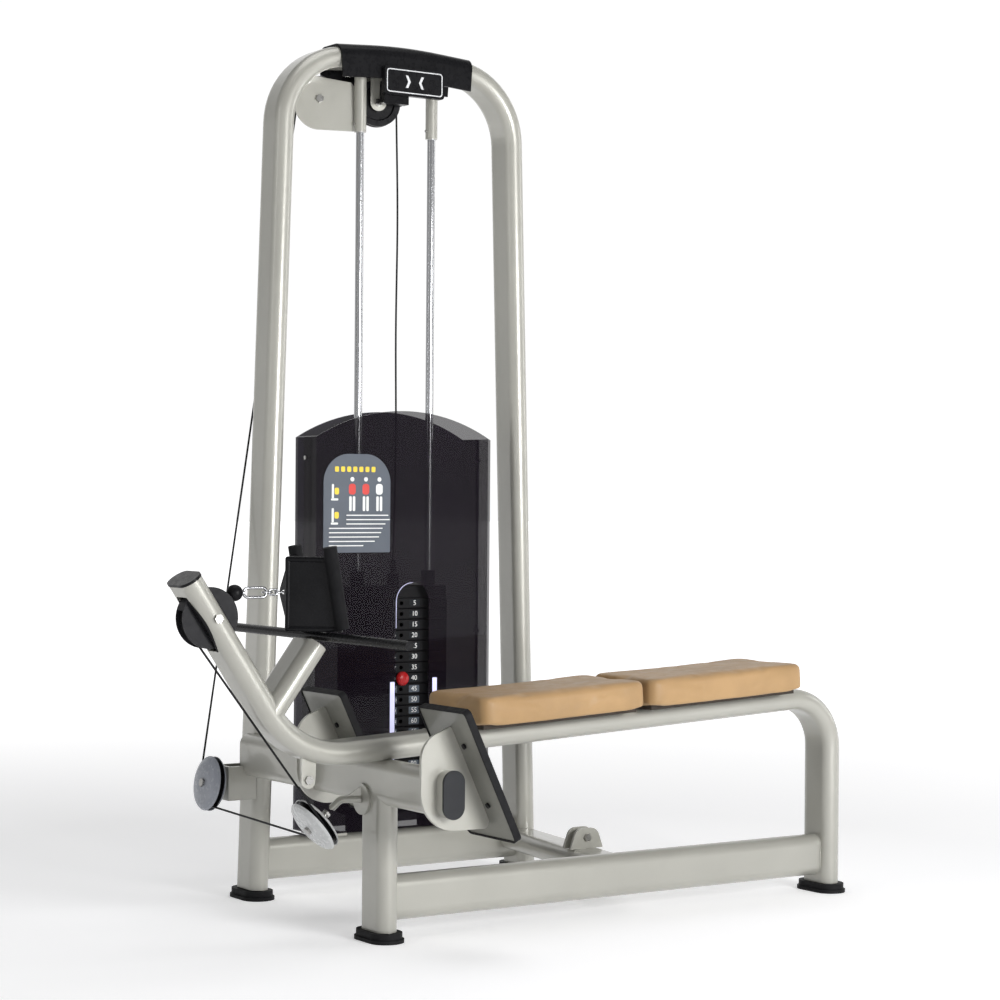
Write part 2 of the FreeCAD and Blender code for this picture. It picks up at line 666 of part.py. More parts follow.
def cover_pair():
    """Two dished discs that wrap a pulley and leave a slit for the cable, joined by two small bridges."""
    slit = d.cover_slit
    rim = d.cover_round
    outer = [(d.axle_round + 0.1, 18), (30, 17.5), (50, 15), (60, 11), (rim, slit)]
    inner = [(rim - 2.5, slit), (57.9, 11.2), (49, 12.5), (30, 12.5), (d.axle_round + 0.1, 12.5)]
    top_half = spun(outer + inner)
    low_half = top_half.mirror(Vector(), Z_AXIS)
    bridge = Part.makeBox(4, 12, 2 * slit + 2, Vector(rim - 4, -6, -slit - 1))
    bridge = bridge.common(Part.makeCylinder(rim, 40, Vector(0, 0, -20)))
    return top_half, low_half, bridge


def turned_cover(name, bridge_angles):
    """A pulley cover with its bridges at chosen angles."""
    top_half, low_half, bridge = cover_pair()
    pieces = [top_half, low_half]
    for angle in bridge_angles:
        tab = bridge.copy()
        tab.rotate(Vector(), Z_AXIS, angle)
        pieces.append(tab)
    return in_seat(name, joined(pieces))


shape_part("left_pulley_cover", turned_cover("left", [75]))
shape_part("near_pulley_cover", turned_cover("near", [100]))

guard_gap = half + 2
guard_disc = Part.makeCylinder(d.cover_round, 3, Vector(0, 0, guard_gap))
guard_disc = guard_disc.cut(Part.makeCylinder(d.axle_round + 0.1, 30))
guard_low = guard_disc.mirror(Vector(), Z_AXIS)
guard_rim = Part.makeCylinder(d.cover_round, 2 * guard_gap, Vector(0, 0, -guard_gap))
guard_rim = guard_rim.cut(Part.makeCylinder(d.cover_round - 3, 2 * guard_gap, Vector(0, 0, -guard_gap)))
guard_side = Part.makeBox(2 * d.cover_round, 40, 60, Vector(-d.cover_round, -20, -30))
guard_side.rotate(Vector(), Z_AXIS, 90 - d.boom_slope)
boom_guard = joined([guard_disc, guard_low, guard_rim.common(guard_side)])
shape_part("boom_pulley_guard", in_seat("boom", boom_guard))

# The top pulley hangs between two cheeks under the crown.

def to_arch(shape):
    """A shape coped with the crown of the arch."""
    ends = [station(d.tower_mid - 330, d.tower_plane, 0), station(d.tower_mid + 330, d.tower_plane, 0)]
    level = d.crown_tall - rise * 330
    route_points = [Vector(ends[0].x, ends[0].y, level), station(d.tower_mid, d.tower_plane, d.crown_tall),
                    Vector(ends[1].x, ends[1].y, level)]
    edges = round_corners(route_points, [d.crown_bend])
    section = oval_wire(edges[0], d.tube_wide / 2)
    return shape.cut(sweep(section, edges))


def oval_wire(edge, radius):
    """The frame tube's outline at the start of a route."""
    start = edge.valueAt(edge.FirstParameter)
    heading = edge.tangentAt(edge.FirstParameter)
    side = Y_AXIS.cross(heading).normalize() * radius
    reach = Y_AXIS * ((d.tube_deep - d.tube_wide) / 2)
    tip = Y_AXIS * radius
    corners = [start + side + reach, start - side + reach, start - side - reach, start + side - reach]
    edges = [Part.Arc(corners[0], start + reach + tip, corners[1]).toShape(),
             Part.LineSegment(corners[1], corners[2]).toShape(),
             Part.Arc(corners[2], start - reach - tip, corners[3]).toShape(),
             Part.LineSegment(corners[3], corners[0]).toShape()]
    return Part.Wire(edges)


cheeks = []
for side in (-1, 1):
    cheek = Part.makeCylinder(20, 4, Vector(0, 0, side * (half + 4) - 2))
    cheek = cheek.fuse(Part.makeBox(40, 100, 4, Vector(-20, 0, side * (half + 4) - 2)))
    cheek = cheek.cut(Part.makeCylinder(d.axle_round + 0.05, 80, Vector(0, 0, -40)))
    cheeks.append(cheek)


def upright_seat(name, shape):
    """A shape drawn with its own X level and its own Y up, moved to a pulley's seat."""
    centre, forward = seat[name]
    turn = Rotation(Z_AXIS.cross(forward), Z_AXIS, forward, "ZYX")
    moved = shape.copy()
    moved.transformShape(Placement(centre, turn).toMatrix(), True)
    return moved


shape_part("top_pulley_hanger", Part.makeCompound([to_arch(upright_seat("top", cheek)) for cheek in cheeks]))

# The corner pulley is carried by one plate that fills the shoulder of the arch.
gusset_corners = [(-80, 44, 4), (62, 62, 20), (62, -76, 60), (-112, -76, 4), (-100, 20, 30)]
gusset = Part.Face(Part.Wire(ring_edges(gusset_corners))).extrude(Z_AXIS * 4)
gusset.translate(Vector(0, 0, -half - 6))
gusset = gusset.cut(Part.makeCylinder(d.axle_round + 0.05, 80, Vector(0, 0, -40)))
gusset = upright_seat("corner", gusset)
rod_site = station(d.stack_mid - d.rod_gap / 2, d.tower_plane, 0)
gusset = gusset.cut(Part.makeCylinder(d.sleeve_round + 1, 3000, rod_site))
arch_edges = round_corners([station(d.tower_mid + x, d.tower_plane, z) for x, z in arch_route],
                           [d.corner_bend, d.crown_bend, d.corner_bend])
arch_block = sweep(oval_wire(arch_edges[0], d.tube_wide / 2), arch_edges)
gusset_part = max(gusset.cut(arch_block).Solids, key=lambda solid: solid.Volume)
shape_part("corner_pulley_plate", gusset_part)

def cross_block():
    """The front cross tube's outer form as a shape."""
    lower = station(-d.tube_wide / 2, -400, d.cross_level - d.tube_deep / 2 + d.tube_wide / 2)
    block = Part.makeBox(d.tube_wide, 1000, d.tube_deep - d.tube_wide, lower)
    reach = (d.tube_deep - d.tube_wide) / 2
    round_low = [station(0, -400, d.cross_level + side * reach) for side in (-1, 1)]
    rounds = [Part.makeCylinder(d.tube_wide / 2, 1000, start, Y_AXIS) for start in round_low]
    return joined([block] + rounds)


# The lower pulleys stand off the frame on a bracket and on a bent arm.
left_centre, left_axis = seat["left"]
left_upright_x = d.tower_mid - d.tower_half + lean * left_centre.z - d.tube_wide / 2
bracket_end = left_centre + left_axis * (half + 22)
bracket_low = left_centre.z - 40
flanges = []
for y in (left_centre.y - 33, left_centre.y + 27):
    run = left_upright_x - d.origin_x + 4 - bracket_end.x
    flanges.append(Part.makeBox(run, 6, 80, Vector(bracket_end.x, y, bracket_low)))
end_plate = Part.makeBox(6, 66, 80, Vector(bracket_end.x, left_centre.y - 33, bracket_low))
boss = bar(left_centre + left_axis * 19, left_centre + left_axis * (half + 26), 14)
bracket = joined(flanges + [end_plate, boss])
axle_drill = Part.makeCylinder(d.axle_round + 0.05, 120, left_centre - left_axis * 60, left_axis)
bracket = bracket.cut(axle_drill)
left_foot = station(d.tower_mid - d.tower_half, d.tower_plane, 0)
left_way = Vector(math.sin(math.radians(d.tower_lean)), 0, math.cos(math.radians(d.tower_lean)))
left_edge = Part.LineSegment(left_foot, left_foot + left_way * 1500).toShape()
bracket = bracket.cut(sweep(oval_wire(left_edge, d.tube_wide / 2), [left_edge])).cut(cross_block())
shape_part("left_pulley_bracket", max(bracket.Solids, key=lambda solid: solid.Volume))

near_centre, near_axis = seat["near"]
arm_root = station(-d.tube_wide / 2 - 6, 30, 304)
arm_bend = arm_root + Vector(-42, 14, 0)
arm_tip = near_centre + near_axis * 19
arm_route = round_corners([arm_root, arm_bend, arm_tip], [18])
arm = rod_along(arm_route, 8)
arm_plate = Part.makeCylinder(34, 6, station(-d.tube_wide / 2 - 6, 30, 304), X_AXIS)
arm_boss = bar(near_centre + near_axis * 19, near_centre + near_axis * 33, 13)
rib_points = [arm_root + Vector(1, 0, 28), arm_root + Vector(1, 0, 0), arm_bend + Vector(4, -1, 0)]
rib = Part.Face(Part.makePolygon(rib_points + rib_points[:1])).extrude(Vector(1.6, 5, 0))
rib.translate(Vector(-0.8, -2.5, 0))
arm_whole = joined([arm, arm_plate, arm_boss, rib])
near_drill = Part.makeCylinder(d.axle_round + 0.05, 70, near_centre - near_axis * 20, near_axis)
nut_room = Part.makeCylinder(10.5, 20, near_centre + near_axis * 33, near_axis)
arm_whole = arm_whole.cut(near_drill).cut(nut_room)
shape_part("near_pulley_arm", max(arm_whole.Solids, key=lambda solid: solid.Volume))

guard_back = Part.Face(Part.Wire(ring_edges([(-80, 70, 4), (62, 74, 4), (62, -2, 20), (-80, -2, 20)])))
guard_back = guard_back.extrude(Z_AXIS * 3)
guard_back.translate(Vector(0, 0, half + 6.5))
guard_back = guard_back.cut(Part.makeCylinder(d.axle_round + 4, 80, Vector(0, 0, -40)))
guard_lip = Part.makeBox(70, 22, 54, station(343, d.tower_plane - 54, d.crown_tall - 116))
guard_lip = guard_lip.cut(Part.makeBox(62, 22, 54, station(347, d.tower_plane - 50, d.crown_tall - 112)))
guard_shapes = [to_arch(upright_seat("top", guard_back)), to_arch(guard_lip)]
shape_part("top_pulley_guard", Part.makeCompound(guard_shapes))

bolts = []
grips = {"top": 2 * half + 12, "corner": 2 * half + 8, "left": 2 * half + 37, "near": 2 * half + 29,
         "boom": d.tube_deep}
for name in SEAT_NAMES:
    centre, forward = seat[name]
    lead = {"left": 18, "near": 18, "boom": d.tube_deep / 2}.get(name, half + 6)
    head_at = centre - forward * lead
    bolts.append(bolt(head_at, forward * 1, grips[name], d.axle_round, d.bolt_head, d.bolt_head_tall))
ear_half = d.ear_gap + d.ear_skin / 2
ear_face = station(ear_mid, d.ear_plane - ear_half, ear_bolt_z)
bolts.append(bolt(ear_face, Y_AXIS * 1, 2 * ear_half, d.axle_round, d.bolt_head, d.bolt_head_tall))
lug_face = station(lug_hole[0], -16 - d.step_skin, lug_hole[1])
bolts.append(bolt(lug_face, Y_AXIS * 1, d.step_skin, d.axle_round, d.bolt_head, d.bolt_head_tall))
shape_part("axle_bolts", Part.makeCompound(bolts))

# ---- guide rods ----

rod_sites = [d.stack_mid - d.rod_gap / 2, d.stack_mid + d.rod_gap / 2]
beam_top = d.beam_level + d.tube_deep / 2
rods = []
sleeves = []
screws = []
buffers = []
for x in rod_sites:
    middle = station(x, d.tower_plane, 0)
    rods.append(Part.makeCylinder(d.rod_round, d.rod_top - beam_top, middle + Z_AXIS * beam_top))
    blank = Part.makeCylinder(d.sleeve_round, d.rod_top + 14 - d.sleeve_low, middle + Z_AXIS * d.sleeve_low)
    bore = Part.makeCylinder(d.rod_round, d.rod_top - d.sleeve_low, middle + Z_AXIS * d.sleeve_low)
    tapped = Part.makeCylinder(3, 20, middle + Vector(-20, 0, d.sleeve_low + 20), X_AXIS)
    sleeves.append(to_arch(blank.cut(bore).cut(tapped)))
    screws.append(Part.makeCylinder(3, 8, middle + Vector(-18, 0, d.sleeve_low + 20), X_AXIS))
    buffer_ring = Part.makeCylinder(24, d.stack_low - beam_top, middle + Z_AXIS * beam_top)
    buffers.append(buffer_ring.cut(Part.makeCylinder(d.rod_round + 0.2, 300, middle)))
shape_part("guide_rods", Part.makeCompound(rods))
shape_part("rod_sleeves", Part.makeCompound(sleeves))
shape_part("stack_buffers", Part.makeCompound(buffers))

# ---- weight stack ----

stack_centre = station(d.stack_mid, d.tower_plane, 0)
pin_plate = int(d.picked_count)
plate_total = int(d.plate_count)


def weight_plate(index):
    """One weight plate, counted from the top, with rod holes, a stem hole and a pin hole."""
    low = d.stack_low + (plate_total - index) * d.plate_pitch
    size = Vector(d.plate_long, d.plate_deep, d.plate_thick)
    blank = Part.makeBox(size.x, size.y, size.z, stack_centre + Vector(-size.x / 2, -size.y / 2, low))
    blank = blank.makeChamfer(1.5, [edge for edge in blank.Edges if abs(edge.tangentAt(0).x) > 0.9])
    for offset in (-d.rod_gap / 2, d.rod_gap / 2):
        blank = blank.cut(Part.makeCylinder(d.rod_round + 2, 60, stack_centre + Vector(offset, 0, low - 10)))
    blank = blank.cut(Part.makeCylinder(d.stem_round + 2, 60, stack_centre + Vector(0, 0, low - 10)))
    mouth = stack_centre + Vector(0, -size.y, low + size.z / 2)
    return blank.cut(Part.makeCylinder(d.pin_round + 0.7, size.y, mouth, Y_AXIS))


lifted = [weight_plate(index) for index in range(1, pin_plate + 1)]
resting = [weight_plate(index) for index in range(pin_plate + 1, plate_total + 1)]
shape_part("lifted_plates", Part.makeCompound(lifted))
shape_part("resting_plates", Part.makeCompound(resting))

head_low = stack_head
head = Part.makeBox(d.plate_long, d.plate_deep - 8, 28,
                    stack_centre + Vector(-d.plate_long / 2, 4 - d.plate_deep / 2, head_low))
pieces = [head]
for offset in (-d.rod_gap / 2, d.rod_gap / 2):
    pieces.append(Part.makeCylinder(17, 66, stack_centre + Vector(offset, 0, head_low)))
pieces.append(Part.makeCylinder(15, 60, stack_centre + Vector(0, 0, head_low)))
pieces.append(Part.makeCylinder(8, 92, stack_centre + Vector(0, 0, head_low)))
head = joined(pieces)
for offset in (-d.rod_gap / 2, d.rod_gap / 2):
    rod_room = Part.makeCylinder(d.rod_round + 0.5, 100, stack_centre + Vector(offset, 0, head_low - 10))
    head = head.cut(rod_room)
head = head.cut(Part.makeCylinder(d.stem_round, 30, stack_centre + Vector(0, 0, head_low)))
shape_part("head_plate", head)

stem_low = d.stack_low + 8
stem = Part.makeCylinder(d.stem_round, head_low + 30 - stem_low, stack_centre + Vector(0, 0, stem_low))
for index in range(1, plate_total + 1):
    level = d.stack_low + (plate_total - index) * d.plate_pitch + d.plate_thick / 2
    stem = stem.cut(Part.makeCylinder(d.pin_round + 0.5, 60, stack_centre + Vector(0, -30, level), Y_AXIS))
shape_part("selector_stem", stem)

pin_z = d.stack_low + (plate_total - pin_plate) * d.plate_pitch + d.plate_thick / 2
pin = turned([(0, 0), (6, 0.4), (11.5, 2.4), (15.4, 5.6), (17.3, 9.6), (17.3, 13), (15.4, 17), (9, 17.8),
              (d.pin_round, 17.8), (d.pin_round, 67), (2, 70), (0, 70)])
pin.Placement = Placement(station(d.stack_mid, d.tower_plane - d.plate_deep / 2 - 18, pin_z), ALONG_Y)
keep("selector_pin", pin)

# ---- shroud ----


def tray_outline(half_wide):
    """A tray's face: straight sides under a broad arched top."""
    shoulder = d.shroud_shoulder
    left = Vector(-half_wide, shoulder, 0)
    right = Vector(half_wide, shoulder, 0)
    low_left = Vector(-half_wide, d.shroud_low, 0)
    low_right = Vector(half_wide, d.shroud_low, 0)
    edges = [Part.Arc(left, Vector(0, d.shroud_crown, 0), right).toShape(),
             Part.LineSegment(right, low_right).toShape(),
             Part.LineSegment(low_right, low_left).toShape(),
             Part.LineSegment(low_left, left).toShape()]
    return Part.Face(Part.Wire(edges))


def tray(middle, half_wide, front, back, face_first):
    """An open tray from one arched sheet with two flanges; face_first puts the sheet at the front."""
    block = tray_outline(half_wide).extrude(Z_AXIS * (back - front))
    block.rotate(Vector(), X_AXIS, 90)
    block.translate(station(middle, back, 0))
    inner = Part.makeBox(2 * (half_wide - d.shroud_skin), back - front - d.shroud_skin, 2000,
                         station(middle - half_wide + d.shroud_skin,
                                 front + (d.shroud_skin if face_first else 0), 0))
    return block.cut(inner)


half_shroud = d.shroud_wide / 2
front_tray = tray(d.shroud_mid, half_shroud, d.shroud_front, d.shroud_front + 60, True)
slot_corners = [(-24, 190, 6), (72, 190, 6), (72, 748, 47.5), (-24, 748, 47.5)]
slot_face = Part.Face(Part.Wire(ring_edges(slot_corners)))
slot_block = slot_face.extrude(Z_AXIS * 20)
slot_block.rotate(Vector(), X_AXIS, 90)
slot_block.translate(station(d.shroud_mid, d.shroud_front + 10, 0))
front_tray = front_tray.cut(slot_block)
rear_tray = tray(d.rear_mid, d.rear_wide / 2, d.shroud_front + 44, d.shroud_back, False)
for side in (-1, 1):
    for level in (190, 620, 1050):
        outer = station(d.shroud_mid + side * half_shroud, d.shroud_front + 52, level)
        hole = Part.makeCylinder(2.5, 14, outer - X_AXIS * side * 14, X_AXIS * side)
        front_tray = front_tray.cut(hole)
        rear_tray = rear_tray.cut(hole)
        head = Part.makeCylinder(5, 2.5, outer, X_AXIS * side)
        screws.append(joined([head, hole]))
shape_part("front_shroud", front_tray)
shape_part("rear_shroud", rear_tray)
shape_part("small_screws", Part.makeCompound(screws))

feet_bars = []
for x in (-d.rest_inset, d.rest_inset):
    rest_corner = stack_centre + Vector(x - d.rest_wide / 2, 0, 0)
    rest = Part.makeBox(d.rest_wide, d.shroud_back - d.shroud_front, d.rest_tall, rest_corner)
    rest.translate(Vector(0, d.shroud_front - d.tower_plane, beam_top))
    feet_bars.append(rest)
shape_part("shroud_rests", Part.makeCompound(feet_bars))

placard_corners = [(-93.5, 822, 3), (93.5, 822, 3), (93.5, 1060, 70), (-93.5, 1060, 70)]
placard = plate(placard_corners, "placard_thick")
keep("placard", place(placard, "placard_mid", "shroud_front", "0", UPRIGHT))

# ---- top cover and sign ----

cover_level = d.crown_tall - rise * d.cover_half
cover_edges = round_corners([Vector(-d.cover_half, 0, cover_level), Vector(0, 0, d.crown_tall),
                             Vector(d.cover_half, 0, cover_level)], [d.crown_bend])


def cover_wire(radius, top, low):
    """The cover's section: round shoulders, straight skirts."""
    start = cover_edges[0].valueAt(0)
    reach = (d.tube_deep - d.tube_wide) / 2
    out = reach + radius
    ring = [(-out, -low, 1), (-out, top, radius - 1), (out, top, radius - 1), (out, -low, 1)]
    edges = ring_edges([(y, z, r) for y, z, r in ring])
    wire = Part.Wire(edges)
    wire.rotate(Vector(), Vector(1, 1, 1), 120)
    wire.rotate(Vector(), Y_AXIS, -d.crown_slope)
    wire.translate(start)
    return wire


shell = sweep(cover_wire(31, 31, 52), cover_edges).cut(sweep(cover_wire(25.6, 25.6, 70), cover_edges))
shell.translate(station(d.tower_mid, d.tower_plane, 0))
corner_room = in_seat("corner", Part.makeCylinder(d.pulley_round + 4, 2 * half + 6, Vector(0, 0, -half - 3)))
shape_part("top_cover", shell.cut(corner_room))

badge_corners = [(334, 1937, 9), (506, 1937, 9), (506, 2006, 9), (334, 2006, 9)]
badge = plate(badge_corners, "badge_thick")
keep("sign_badge", place(badge, "0", "tower_plane - badge_out", "0", UPRIGHT))

# ---- foot plates ----

step_wide = d.step_outer - d.step_inner
step_down = Vector(math.sin(math.radians(d.step_tilt)), 0, -math.cos(math.radians(d.step_tilt)))
step_back = Y_AXIS.cross(step_down)
step_turn = Rotation(Y_AXIS, step_down, step_back, "ZYX")
step_sides = {"near": -d.step_outer, "far": d.step_inner}
panels = []
mats = []
fans = []
step_bolts = []
for name, y in step_sides.items():
    step_place = Placement(station(d.step_top_x, y, d.step_top_z), step_turn).toMatrix()
    panel_ring = [(0, 0), (step_wide, 0), (step_wide, d.step_long), (0, d.step_long)]
    panel_face = Part.Face(Part.Wire(ring_edges([(x, down, 8) for x, down in panel_ring])))
    panel = panel_face.extrude(Z_AXIS * d.step_skin)
    rim = d.mat_rim
    mat_ring = [(-rim, -rim), (step_wide + rim, -rim), (step_wide + rim, d.step_long + rim),
                (-rim, d.step_long + rim)]
    mat = Part.Face(Part.Wire(ring_edges([(x, down, 12) for x, down in mat_ring])))
    mat = mat.extrude(Z_AXIS * (d.mat_thick + d.step_skin + 2))
    mat.translate(Z_AXIS * -d.mat_thick)
    pocket = panel.copy().fuse(panel.copy().translated(Z_AXIS * 2.5)).removeSplitter()
    mat = mat.cut(pocket)
    fan_y = -d.fan_plane if name == "near" else d.fan_plane
    for shape, group in ((panel, panels), (mat, mats)):
        shape.transformShape(step_place, True)
        group.append(shape)
    fan = Part.Face(Part.Wire(ring_edges([(10, 484, 4), (-62, 456, 58), (-62, 268, 84), (103, 266, 10),
                                          (107, 282, 3)]))).extrude(Z_AXIS * d.fan_skin)
    fan.rotate(Vector(), X_AXIS, 90)
    fan.translate(station(0, fan_y + d.fan_skin / 2, 0))
    fan = fan.cut(cross_block()).cut(panels[-1]).cut(mats[-1])
    fans.append(max(fan.Solids, key=lambda solid: solid.Volume))
    for along_step in (80, 220):
        for across in (-26, 26):
            head = station(d.step_top_x, fan_y + across, d.step_top_z) + step_down * along_step
            head += step_back * d.step_skin
            step_bolts.append(Part.makeCylinder(d.step_bolt_round, d.step_bolt_tall, head, step_back))
shape_part("foot_plates", Part.makeCompound(panels))
shape_part("foot_mats", Part.makeCompound(mats))
shape_part("foot_brackets", Part.makeCompound(fans))
shape_part("foot_plate_bolts", Part.makeCompound(step_bolts))

# ---- seat pads ----

rail_turn = Rotation(Y_AXIS, -d.rail_slope)
rail_way = along(d.rail_slope)
rail_up = Vector(-rail_way.z, 0, rail_way.x)


def on_rail(x, lift):
    """A point over the rail's centre line."""
    return station(x, 0, d.rail_level + rail * x) + rail_up * lift


boards = []
for name, start, end in (("front", d.pad_start, d.pad_seam), ("rear", d.pad_seam + 3, d.pad_end)):
    length = (end - start) / rail_way.x
    half_pad = d.pad_wide / 2
    seat_pad = doc.addObject("PartDesign::Body", "Pad")
    sketch = sketch_on(seat_pad, "XY_Plane")
    pad_ring = [(0, -half_pad), (length, -half_pad), (length, half_pad), (0, half_pad)]
    for edge in ring_edges([(x, y, d.pad_corner) for x, y in pad_ring]):
        sketch.addGeometry(sketch_geometry(edge), False)
    padded(seat_pad, sketch, "pad_thick")
    doc.recompute()
    block = seat_pad.Tip
    top_edges = ["Edge%d" % (index + 1) for index, edge in enumerate(block.Shape.Edges)
                 if edge.BoundBox.ZMin > d.pad_thick - 1]
    fillet = seat_pad.newObject("PartDesign::Fillet", "Round")
    fillet.Base = (block, top_edges)
    fillet.Radius = d.pad_edge
    seat_pad.Placement = Placement(on_rail(start, d.pad_lift), rail_turn)
    keep(name + "_pad", seat_pad)
    board_corner = Vector(d.board_inset, d.board_side - half_pad, 0)
    board_wide = d.pad_wide - 2 * d.board_side
    board = Part.makeBox(length - 2 * d.board_inset, board_wide, d.board_thick, board_corner)
    board.transformShape(Placement(on_rail(start, d.pad_lift - d.board_thick), rail_turn).toMatrix(), True)
    boards.append(board)
shape_part("pad_boards", Part.makeCompound(boards))

# ---- handle ----

ball = doc.addObject("Part::Sphere", "Ball")
ball.setExpression("Radius", bound("ball_round"))
ball.Placement = Placement(ball_mid, FLAT)
keep("stopper_ball", ball)


def wire_loop(middle, half_long, half_tall, wire, normal):
    """A closed link of round wire, long along X."""
    side = normal.cross(X_AXIS)
    r = half_tall
    c = half_long - half_tall
    left = middle - X_AXIS * c
    right = middle + X_AXIS * c
    edges = [Part.LineSegment(left + side * r, right + side * r).toShape(),
             Part.Arc(right + side * r, right + X_AXIS * r, right - side * r).toShape(),
             Part.LineSegment(right - side * r, left - side * r).toShape(),
             Part.Arc(left - side * r, left - X_AXIS * r, left + side * r).toShape()]
    start = edges[0].valueAt(edges[0].FirstParameter)
    ring = Part.Wire(Part.Circle(start, X_AXIS, wire).toShape())
    return Part.Wire(edges).makePipeShell([ring], True, False)


hook_loop = wire_loop(ball_mid + Vector(48.2, 0, 0), 27, 10, 3.2, Y_AXIS)
hook_eye = bar(ball_mid + X_AXIS * d.ball_round, ball_mid + X_AXIS * 21.5, 5)
shape_part("snap_hook", joined([hook_loop, hook_eye]))
link_mids = [ball_mid + X_AXIS * (d.link_first + index * d.link_pitch) for index in range(3)]
link_ways = [Z_AXIS, Y_AXIS, Z_AXIS]
links = [wire_loop(middle, 10.4, 5.6, 2.4, way) for middle, way in zip(link_mids, link_ways)]
shape_part("chain_links", Part.makeCompound(links))

grip_way = along(90 + d.grip_tilt)
nose_x = ball_mid.x + d.nose_reach
arm_top = d.arm_top
root_x = nose_x + 12
arm_low = d.rest_level + d.rest_round + 6.3
arm_mid = (arm_top + arm_low) / 2
root_top = Vector(root_x, -d.origin_y, arm_top)
root_low = Vector(root_x, -d.origin_y, arm_low)


def on_grip(side, level):
    """A grip's centre line at a height; side is -1 near the viewer and 1 near the tower."""
    middle = station(d.grip_at, side * d.grip_gap / 2, d.grip_level)
    return middle + grip_way * ((level - d.grip_level) / grip_way.z)


frame_pieces = []
grips_list = []
for side in (-1, 1):
    grip_mid = on_grip(side, d.grip_level)
    frame_pieces.append(bar(root_top, on_grip(side, arm_top), d.arm_round))
    frame_pieces.append(bar(root_low, on_grip(side, arm_low), d.arm_round))
    across = (on_grip(side, arm_mid) - Vector(root_x, -d.origin_y, arm_mid)).cross(Z_AXIS).normalize() * 2
    slices = []
    for top, low in ((root_top, root_low), (on_grip(side, arm_top), on_grip(side, arm_low))):
        corners = [top - across, top + across, low + across, low - across]
        slices.append(Part.makePolygon(corners + corners[:1]))
    frame_pieces.append(Part.makeLoft(slices, True, True))
    low_end = grip_mid - grip_way * (d.grip_long / 2 - 2)
    frame_pieces.append(Part.makeCylinder(d.grip_round - 3, d.grip_long - 4, low_end, grip_way))
    rubber = Part.makeCylinder(d.grip_round, d.grip_long, low_end - grip_way * 2, grip_way)
    rubber = rubber.cut(Part.makeCylinder(d.grip_round - 3, d.grip_long - 4, low_end, grip_way))
    grips_list.append(rubber)
spine_bar = bar(root_low, root_top, d.arm_round)
nose_points = [(nose_x - 6, pull_z + 7), (root_x, arm_top - 6), (root_x, arm_low + 6),
               (nose_x - 6, pull_z - 7)]
nose_ring = [Vector(x, -d.origin_y - 2.5, z) for x, z in nose_points + nose_points[:1]]
nose_face = Part.Face(Part.makePolygon(nose_ring))
nose = nose_face.extrude(Y_AXIS * 5)
whole = joined(frame_pieces + [spine_bar, nose])
whole = whole.cut(Part.makeCylinder(4.6, 20, Vector(nose_x + 1.2, -d.origin_y - 10, pull_z), Y_AXIS))
shape_part("handle_frame", whole)
clear_grips = []
for rubber in grips_list:
    clear_grips.append(max(rubber.cut(whole).Solids, key=lambda solid: solid.Volume))
shape_part("handle_grips", Part.makeCompound(clear_grips))

# ---- check and write ----

doc.recompute()
for obj in doc.Objects:
    if "Invalid" in obj.State or "Error" in obj.State:
        raise ValueError("failed object: " + obj.Label)
os.makedirs("parts", exist_ok=True)
for obj in SUBPARTS:
    if obj.Shape.isNull() or not obj.Shape.isValid():
        raise ValueError("bad shape: " + obj.Label)
    obj.Shape.exportStep("parts/%s.step" % obj.Label)
print(len(SUBPARTS), "sub-parts written")
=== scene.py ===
"""Studio scene of a seated cable row machine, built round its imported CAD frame."""

import math

import bmesh
import bpy
from mathutils import Matrix, Vector


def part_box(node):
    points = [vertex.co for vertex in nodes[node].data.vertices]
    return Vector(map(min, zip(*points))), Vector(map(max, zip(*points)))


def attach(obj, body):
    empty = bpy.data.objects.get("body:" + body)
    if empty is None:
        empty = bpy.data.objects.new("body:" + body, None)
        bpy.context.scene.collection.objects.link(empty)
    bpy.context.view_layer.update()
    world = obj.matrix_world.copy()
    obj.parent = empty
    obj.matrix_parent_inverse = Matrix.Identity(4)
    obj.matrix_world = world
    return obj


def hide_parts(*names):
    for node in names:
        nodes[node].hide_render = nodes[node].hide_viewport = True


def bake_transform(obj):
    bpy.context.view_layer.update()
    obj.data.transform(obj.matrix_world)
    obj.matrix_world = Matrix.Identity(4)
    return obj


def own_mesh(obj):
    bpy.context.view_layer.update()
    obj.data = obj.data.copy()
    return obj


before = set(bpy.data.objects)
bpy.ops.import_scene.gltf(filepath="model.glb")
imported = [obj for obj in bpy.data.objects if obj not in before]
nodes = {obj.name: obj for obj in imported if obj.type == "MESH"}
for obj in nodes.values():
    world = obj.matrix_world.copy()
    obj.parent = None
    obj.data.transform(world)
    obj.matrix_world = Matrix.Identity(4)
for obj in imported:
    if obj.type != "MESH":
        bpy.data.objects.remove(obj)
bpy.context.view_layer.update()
scene = bpy.context.scene

# Stations are millimetres from the front leg along X and from the bench plane along Y.
ORIGIN = Vector((404.714, 160.364, 0.0))
TOWER_PLANE = 625.0
STACK_MID = 410.0
PLATE_FRONT = TOWER_PLANE - 42.0
SHROUD_FRONT = 558.0
SHROUD_MID = 402.6
RAIL_SLOPE = math.radians(2.86)


def at(x, y, z):
    """A point in the row frame, in metres, from stations in millimetres."""
    return (Vector((x, y, z)) - ORIGIN) / 1000.0


# ---- materials ----


